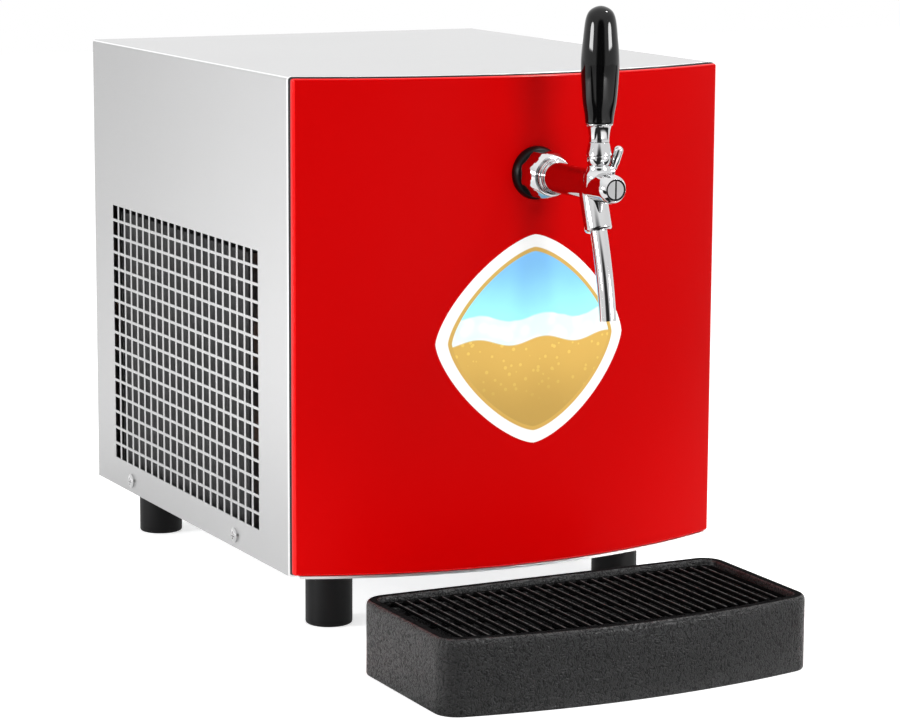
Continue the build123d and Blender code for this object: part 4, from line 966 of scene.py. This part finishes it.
class DISPENSER_OT_lever(bpy.types.Operator):
    """Bell, ferrule and handle of the lever"""

    bl_idname = "dispenser.lever"
    bl_label = "Lever"

    def execute(self, context):
        """Turned shapes; the handle and the ferrule are smooth curves through their measured radii."""
        sizes = context.scene.dispenser_lever
        stem, ball, rim, rim_rise, top, rise, flare, span = in_mm(
            sizes, "stem_radius", "ball_radius", "bell_rim", "bell_rim_rise", "bell_top", "bell_rise",
            "ferrule_rim", "ferrule_length",
        )
        dome = np.linspace(math.acos(stem / ball), math.asin(rim_rise / ball), 14)
        inside = polar(ball, dome)
        outside = rounded(
            [inside[-1], (rim, rim_rise), (rim, rim_rise + 1.0), (top, rise), (stem, rise), inside[0]],
            (0.3, 0.5, 0.7, 0.1),
        )
        pivot = (0, TURRET_Y, PIVOT_Z)
        bell = placed(turned(np.concatenate([inside, outside])), pivot)
        piece("lever_bell_turned", [bell], "lever", "tap_chrome", ["lever_bell"])
        waist = smooth(FERRULE_KNOTS, 8)
        edge = rounded([(flare - 0.4, span - 1.6), (flare, span - 1.2), (flare, span), (stem, span)], 0.3)
        foot = [(stem, 0.0), (FERRULE_KNOTS[1][0] - 0.5, 0.0)]
        outline = np.concatenate([foot, waist, edge, foot[:1]])
        ferrule = placed(turned(outline), np.array(pivot) + (0, 0, sizes.bell_rise))
        piece("lever_ferrule_turned", [ferrule], "lever", "tap_chrome", ["lever_ferrule"])
        side = smooth(HANDLE_KNOTS, 14)
        grip = np.concatenate([[(0.0, 0.0), (side[0][0] - 0.9, 0.0), (side[0][0] - 0.3, 0.15)], side])
        handle = placed(turned(grip), np.array(pivot) + (0, 0, sizes.bell_rise + sizes.ferrule_length))
        piece("handle_turned", [handle], "lever", "handle_black", ["handle"], crease=50.0)
        return {"FINISHED"}


class DISPENSER_OT_flow_lever(bpy.types.Operator):
    """Small lever on the right of the turret"""

    bl_idname = "dispenser.flow_lever"
    bl_label = "Flow lever"

    def execute(self, context):
        """A turned hub on the spindle's axis and a turned stub with a round end that leans to the right."""
        sizes = context.scene.dispenser_lever
        low, high = (np.array(corner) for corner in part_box("flow_lever"))
        hub_z = low[2] + sizes.hub_radius
        radius, span = in_mm(sizes, "hub_radius", "hub_length")
        lean, gap, stub_rise = sizes.stub_lean, 0.3 * MM, 2.0 * MM
        left = high[0] - sizes.stub_radius - sizes.stub_length * math.sin(lean)
        start = left - (sizes.stub_radius + gap) / math.cos(lean)
        spindle, sunk = radius * 0.5, -2.0
        hub = rounded([
            (0, sunk), (spindle, sunk), (spindle, 0), (radius, 0), (radius, span), (0, span),
        ], (0.2, 0.1, 0.5, 0.9))
        hub = placed(turned(hub, 48), (start, TURRET_Y, hub_z), (1, 0, 0), (0, 1, 0))
        radius, span = in_mm(sizes, "stub_radius", "stub_length")
        tip = polar(radius, np.linspace(0, np.pi / 2, 10)) + (0, span)
        tip[-1, 0] = 0.0
        neck = radius * 0.86
        root = [(0.0, 0.0), (neck, 0.0), (neck, span * 0.22), (radius, span * 0.32)]
        stub = turned(np.concatenate([root, tip]), 48)
        stub = placed(
            stub, (left, TURRET_Y, hub_z + stub_rise), (math.sin(lean), 0, math.cos(lean)), (0, 1, 0)
        )
        piece("flow_lever_turned", [hub, stub], "flow_lever", "tap_chrome", ["flow_lever"])
        return {"FINISHED"}


# Drip tray

# Wall of the tray in millimetres as (inset, height): out from the base, over the rim and into the well
TRAY_WALL = (
    (3.0, 0.0), (0.0, 0.0), (0.0, 61.8), (9.6, 61.8), (10.0, 52.8), (16.0, 52.8), (16.4, 3.5), (19.0, 3.5),
)
TRAY_EDGES = (2.2, 5.4, 2.4, 0.8, 1.6, 2.4)
# Cross wires of the grate, as shares of its depth, and how far they sink below the bars, in their radius
CROSS_PLACES = (0.2, 0.5, 0.8)
CROSS_SINK = 0.7


class TraySizes(bpy.types.PropertyGroup):
    """Drip tray and its grate."""

    bow: length("Bow", "How far the tray's front bulges", 0.0196)
    corner: length("Corner", "Radius of the tray's corners", 0.020)
    frame_inset: length("Frame inset", "From the tray's outline to the grate's frame wire", 0.0131)
    frame_radius: length("Frame radius", "Frame wire of the grate", 0.0022)
    bar_radius: length("Bar radius", "Bars of the grate", 0.0016)
    bar_lift: length("Bar lift", "How far the bars rise above the frame wire", 0.0022)
    bar_bend: length("Bar bend", "Run over which a bar's end bends down", 0.007)
    bars: IntProperty(name="Bars", description="Bars of the grate", default=28)
    cross_radius: length("Cross radius", "Wires under the bars", 0.0018)


def tray_outline(sizes):
    """Plan of the tray as points and outward normals: arcs c + r n joined by straight lines."""
    low, high = (np.array(corner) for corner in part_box("drip_tray"))
    half, corner = (high[0] - low[0]) / 2, sizes.corner
    middle = (low[0] + high[0]) / 2
    radius = (half**2 + sizes.bow**2) / (2 * sizes.bow)
    center = low[1] + radius
    front_corner = center - math.sqrt((radius - corner)**2 - (half - corner)**2)
    swing = math.asin((half - corner) / (radius - corner))

    def arc(x, y, size, start, stop, count):
        turn = np.linspace(start, stop, count)
        way = polar(1.0, turn)
        return np.array([middle + x, y]) + size * way, way

    right, back, quarter = half - corner, high[1] - corner, np.pi / 2
    arcs = [
        arc(0, center, radius, -quarter - swing, -quarter + swing, 49),
        arc(right, front_corner, corner, -quarter + swing, 0, 15),
        arc(right, back, corner, 0, quarter, 15),
        arc(-right, back, corner, quarter, 2 * quarter, 15),
        arc(-right, front_corner, corner, 2 * quarter, 3 * quarter - swing, 15),
    ]
    points, normals = (np.concatenate([part[i] for part in arcs]) for i in range(2))
    step = np.linalg.norm(points - np.roll(points, 1, axis=0), axis=1)
    keep = step > 1e-7
    return points[keep], normals[keep]


class DISPENSER_OT_tray(bpy.types.Operator):
    """Drip tray with its rolled rim and well"""

    bl_idname = "dispenser.tray"
    bl_label = "Drip tray"

    def execute(self, context):
        """Each wall point (inset i, height h) runs round the plan as outline - i normal; floors close up."""
        sizes = context.scene.dispenser_tray
        points, normals = tray_outline(sizes)
        inset, height = MM * rounded(TRAY_WALL, TRAY_EDGES, 7).T[:, :, None]
        plan = points - inset[..., None] * normals
        middle = points.mean(axis=0)
        ends = np.broadcast_to(middle, (1, *points.shape))
        plan = np.concatenate([ends, plan, ends])
        height = np.concatenate([height[:1], height, height[-1:]])
        wall = joined(plan[..., 0], plan[..., 1], height)
        piece("drip_tray_shell", [wall], "drip_tray", "tray_black", ["drip_tray"])
        return {"FINISHED"}


class DISPENSER_OT_grate(bpy.types.Operator):
    """Wire grate: frame, bars with bent ends, and cross wires"""

    bl_idname = "dispenser.grate"
    bl_label = "Grate"

    def execute(self, context):
        """Circles swept along the frame's outline, along each bar, and along the cross wires."""
        sizes = context.scene.dispenser_tray
        outline, normals = tray_outline(sizes)
        axis_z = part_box("drip_grate")[1][2] - sizes.frame_radius
        plan = outline - sizes.frame_inset * normals
        ring, sideways = joined(*plan.T, axis_z), joined(*normals.T, 0.0)
        a, b = circle(sizes.frame_radius, 14).T[:, :, None]
        frame_wire = ring[:, None] + a * sideways[:, None] + b * np.array([0, 0, 1.0])
        frame_wire = np.concatenate([frame_wire, frame_wire[:1]])
        (left, nearest), (right, back) = plan.min(axis=0), plan.max(axis=0)
        x = np.linspace(left, right, sizes.bars + 2)[1:-1]
        ahead = plan[:, 1] < (nearest + back) / 2
        order = np.argsort(plan[ahead, 0])
        front = np.interp(x, plan[ahead, 0][order], plan[ahead, 1][order])[:, None]
        share = (1 - np.cos(np.linspace(0, np.pi, 21))) / 2
        y = front + share * (back - front)
        rise = np.clip(np.minimum(y - front, back - y) / sizes.bar_bend, 0, 1)
        z = axis_z + sizes.bar_lift * rise**2 * (3 - 2 * rise)
        section = circle(sizes.bar_radius, 10)
        bars = [swept(path, section, (1, 0, 0), capped=True) for path in joined(x[:, None], y, z)]
        cross_z = axis_z + sizes.bar_lift - sizes.bar_radius - sizes.cross_radius * CROSS_SINK
        section = circle(sizes.cross_radius, 10)
        for place in CROSS_PLACES:
            path = joined(np.linspace(left, right, 12), nearest + place * (back - nearest), cross_z)
            bars.append(swept(path, section, (0, 1, 0), capped=True))
        crown = axis_z + sizes.bar_lift + sizes.bar_radius
        finish = wire_finish("grate_wire", context.scene.dispenser_colours.wire, crown)
        piece("drip_grate_wires", [frame_wire, *bars], "drip_grate", "grate_black", ["drip_grate"], finish)
        return {"FINISHED"}


# Condenser


class FinSizes(bpy.types.PropertyGroup):
    """Fins behind the air inlet."""

    count: IntProperty(name="Fins", description="Fins of the condenser", default=160)
    thickness: length("Thickness", "Sheet of a fin", 0.0008)
    wave: length("Wave", "Depth of a fin's ripple", 0.0004)


class DISPENSER_OT_fins(bpy.types.Operator):
    """Close pack of thin rippled condenser fins"""

    bl_idname = "dispenser.fins"
    bl_label = "Condenser fins"

    def execute(self, context):
        """Each fin is a flat tube of two skins, y = place + wave sin(pi c), over its depth and height."""
        sizes = context.scene.dispenser_fins
        low, high = (np.array(corner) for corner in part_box("condenser_fins"))
        place = np.linspace(low[1], high[1], sizes.count)
        column = np.arange(6)
        x = np.linspace(low[0], high[0], len(column))
        ripple = sizes.wave * np.sin(np.pi * (column + 0.5))
        half = sizes.thickness / 2 * np.array([0, 1, 1, 0])[:, None]
        loop_x = np.concatenate([x, x[::-1]])
        loop_y = np.concatenate([ripple - half, ripple[::-1] + half], axis=1)
        z = np.array([low[2], low[2], high[2], high[2]])
        skin = joined(loop_x, loop_y, z[:, None])
        fins = [skin + (0, y, 0) for y in place]
        piece("condenser_fin_pack", fins, "cabinet", "fin_aluminium", ["condenser_fins"])
        return {"FINISHED"}


# Stage


class DISPENSER_OT_carried(bpy.types.Operator):
    """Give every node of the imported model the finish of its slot"""

    bl_idname = "dispenser.carried"
    bl_label = "Carried nodes"

    def execute(self, context):
        for part in frame["record"]["subparts"]:
            mesh = frame["nodes"][part["node"]].data
            mesh.materials.clear()
            mesh.materials.append(finish_for(part["material_slot"]))
        return {"FINISHED"}


class StageSizes(bpy.types.PropertyGroup):
    """Camera, lamps and floor."""

    camera_place: FloatVectorProperty(
        name="Camera place", description="Where the camera stands, from the foot of the panel's crown",
        default=(-1.24308, -2.30993, 0.68727), subtype="TRANSLATION",
    )
    camera_yaw: angle("Camera yaw", "Turn of the view from straight ahead", -26.736)
    camera_pitch: angle("Camera pitch", "How far the view looks down", 9.922)
    camera_roll: angle("Camera roll", "Tilt of the horizon", 0.30)
    focal_pixels: FloatProperty(
        name="Focal length", description="Focal length in pixels of the image", default=3155.18
    )
    image_width: IntProperty(name="Image width", description="Width of the image in pixels", default=900)
    floor_size: length("Floor", "Edge of the floor", 12.0)


# From the part towards the viewer, in plan
VIEWER_X, VIEWER_Y = -0.45, -0.89
# Lamps: name, place, width and height, power in watts, and whether mirrors show them
LAMPS = (
    ("key", (0.0, -3.0, 0.6), (0.8, 0.8), 48.0, False),
    ("fill", (-2.66, 0.4, 0.93), (0.6, 1.2), 40.0, False),
    ("top", (1.3, -0.7, 2.7), (0.4, 0.4), 30.0, True),
)
LAMP_TARGET = (0.0, 0.0, 0.25)


def add_floor(size):
    """White floor that keeps the object's shadow; mirrors see it dark in front and glowing elsewhere."""
    half = size / 2
    corners = [(-half, -half, 0), (half, -half, 0), (half, half, 0), (-half, half, 0)]
    mesh = bpy.data.meshes.new("floor")
    mesh.from_pydata(corners, [], [(0, 1, 2, 3)])
    floor = add_object("floor", mesh)
    finish = Finish("floor_white")
    white, dark_share, seen_glow, near_glow, far_glow = (0.9, 0.9, 0.9), 0.03, 0.6, 0.34, 0.38
    no_glow, full_glow = (0.0, 0.0, 0.0), (1.0, 1.0, 1.0)
    x, y, _ = finish.axes(finish.place())
    ahead, across = x * VIEWER_X + y * VIEWER_Y, x * -VIEWER_Y + y * VIEWER_X
    front = (ahead - abs(across) * 2.2).step(0.1, 0.6)
    near = (-y).step(0.39, 0.42) * (1.0 - (-y).step(0.8, 1.2))
    front = front + near - front * near
    glossy = finish.ray("Glossy")
    mirrored = glossy * (1.0 - front) * (near_glow + y.step(0.3, 1.3) * far_glow)
    seen = finish.ray("Camera", "Transmission") * seen_glow + mirrored
    finish.set(
        base_color=finish.mix(glossy * front, white, shade(white, dark_share)),
        roughness=0.9,
        specular_ior_level=0.0,
        emission_color=finish.mix(seen, no_glow, full_glow),
        emission_strength=1.0,
    )
    mesh.materials.append(finish.material)


def stand(made, place, axes):
    """Put an object at a place, turned to three axes."""
    turn = np.stack(axes, axis=1)
    made.matrix_world = Matrix.Translation(place) @ Matrix(turn.tolist()).to_4x4()


def add_lamp(name, place, size, power, mirrored):
    """Soft rectangular lamp that looks at the part."""
    data = bpy.data.lights.new(name, "AREA")
    data.shape = "RECTANGLE"
    data.size, data.size_y = size
    data.energy = power
    lamp = add_object(name, data)
    lamp.visible_glossy = mirrored
    back = np.subtract(place, LAMP_TARGET)
    back = back / np.linalg.norm(back)
    side = np.cross((0, 0, 1), back)
    side = side / np.linalg.norm(side)
    stand(lamp, place, [side, np.cross(back, side), back])


def add_camera(sizes):
    """Camera at the viewing angle of the picture."""
    yaw, pitch, roll = sizes.camera_yaw, sizes.camera_pitch, sizes.camera_roll
    up = np.array([0.0, 0.0, 1.0])
    right = np.array([math.cos(yaw), math.sin(yaw), 0.0])
    ahead = np.array([-math.sin(yaw), math.cos(yaw), 0.0])
    look = ahead * math.cos(pitch) - up * math.sin(pitch)
    rise = up * math.cos(pitch) + ahead * math.sin(pitch)
    axes = [
        right * math.cos(roll) + rise * math.sin(roll),
        rise * math.cos(roll) - right * math.sin(roll),
        -look,
    ]
    data = bpy.data.cameras.new("camera")
    data.sensor_fit = "HORIZONTAL"
    data.lens = data.sensor_width * sizes.focal_pixels / sizes.image_width
    camera = add_object("camera", data)
    stand(camera, np.array(sizes.camera_place) + (0, FRONT_Y, 0), axes)
    bpy.context.scene.camera = camera


def light_world():
    """Soft light from all round; mirrors see a dark room in front, pale sides and two bright windows."""
    world = bpy.data.worlds.new("studio")
    bpy.context.scene.world = world
    world.use_nodes = True
    nodes = Nodes(world.node_tree)
    # The three parts of the direction; 1 is straight along an axis
    x, y, z = nodes.axes(nodes.node("ShaderNodeTexCoord", output="Generated"))
    side_light, ceiling_light, room_shade, window_light, soft_light = 1.14, 0.30, 1.10, 26.0, 0.55
    ceiling = z.step(0.30, 0.75)
    room = (x * VIEWER_X + y * VIEWER_Y).step(0.84, 0.95) * (1.0 - ceiling)
    low = z.step(0.07, 0.09) * (1.0 - z.step(0.29, 0.33))
    left = (x * -1.0).step(0.966, 0.976) * low
    right = (x * 0.60 + y * -0.80).step(0.968, 0.978) * low
    mirrored = side_light + ceiling * ceiling_light - room * room_shade + (left + right) * window_light
    seen, glossy = nodes.ray("Camera", "Transmission"), nodes.ray("Glossy")
    strength = seen + glossy * mirrored + (1.0 - seen - glossy) * soft_light
    nodes.feed(world.node_tree.nodes["Background"].inputs["Strength"], strength)
    nodes.feed(world.node_tree.nodes["Background"].inputs["Color"], (1.0, 1.0, 1.0))


class DISPENSER_OT_stage(bpy.types.Operator):
    """Add the floor, the lamps and the camera"""

    bl_idname = "dispenser.stage"
    bl_label = "Stage"

    def execute(self, context):
        sizes = context.scene.dispenser_stage
        context.scene.view_settings.view_transform = "Standard"
        light_world()
        add_floor(sizes.floor_size)
        for lamp in LAMPS:
            add_lamp(*lamp)
        add_camera(sizes)
        return {"FINISHED"}


class DISPENSER_PT_panel(bpy.types.Panel):
    """Steps that dress the dispenser"""

    bl_label = "Draft beer dispenser"
    bl_idname = "DISPENSER_PT_panel"
    bl_space_type = "VIEW_3D"
    bl_region_type = "UI"
    bl_category = "Dispenser"

    def draw(self, context):
        for step in STEPS:
            self.layout.operator(step.bl_idname)


GROUPS = {
    "dispenser_colours": DispenserColours,
    "dispenser_front": FrontSizes,
    "dispenser_tap": TapSizes,
    "dispenser_lever": LeverSizes,
    "dispenser_tray": TraySizes,
    "dispenser_fins": FinSizes,
    "dispenser_stage": StageSizes,
}
STEPS = (
    DISPENSER_OT_carried,
    DISPENSER_OT_front,
    DISPENSER_OT_feet,
    DISPENSER_OT_screws,
    DISPENSER_OT_tap,
    DISPENSER_OT_spout,
    DISPENSER_OT_plug,
    DISPENSER_OT_lever,
    DISPENSER_OT_flow_lever,
    DISPENSER_OT_tray,
    DISPENSER_OT_grate,
    DISPENSER_OT_fins,
    DISPENSER_OT_stage,
)


def register():
    for group in (*GROUPS.values(), *STEPS, DISPENSER_PT_panel):
        bpy.utils.register_class(group)
    for name, group in GROUPS.items():
        setattr(bpy.types.Scene, name, PointerProperty(type=group))


def unregister():
    for name in GROUPS:
        delattr(bpy.types.Scene, name)
    for group in (DISPENSER_PT_panel, *reversed(STEPS), *reversed(GROUPS.values())):
        bpy.utils.unregister_class(group)


def main():
    register()
    for step in STEPS:
        category, name = step.bl_idname.split(".")
        getattr(getattr(bpy.ops, category), name)()


if __name__ == "__main__":
    main()
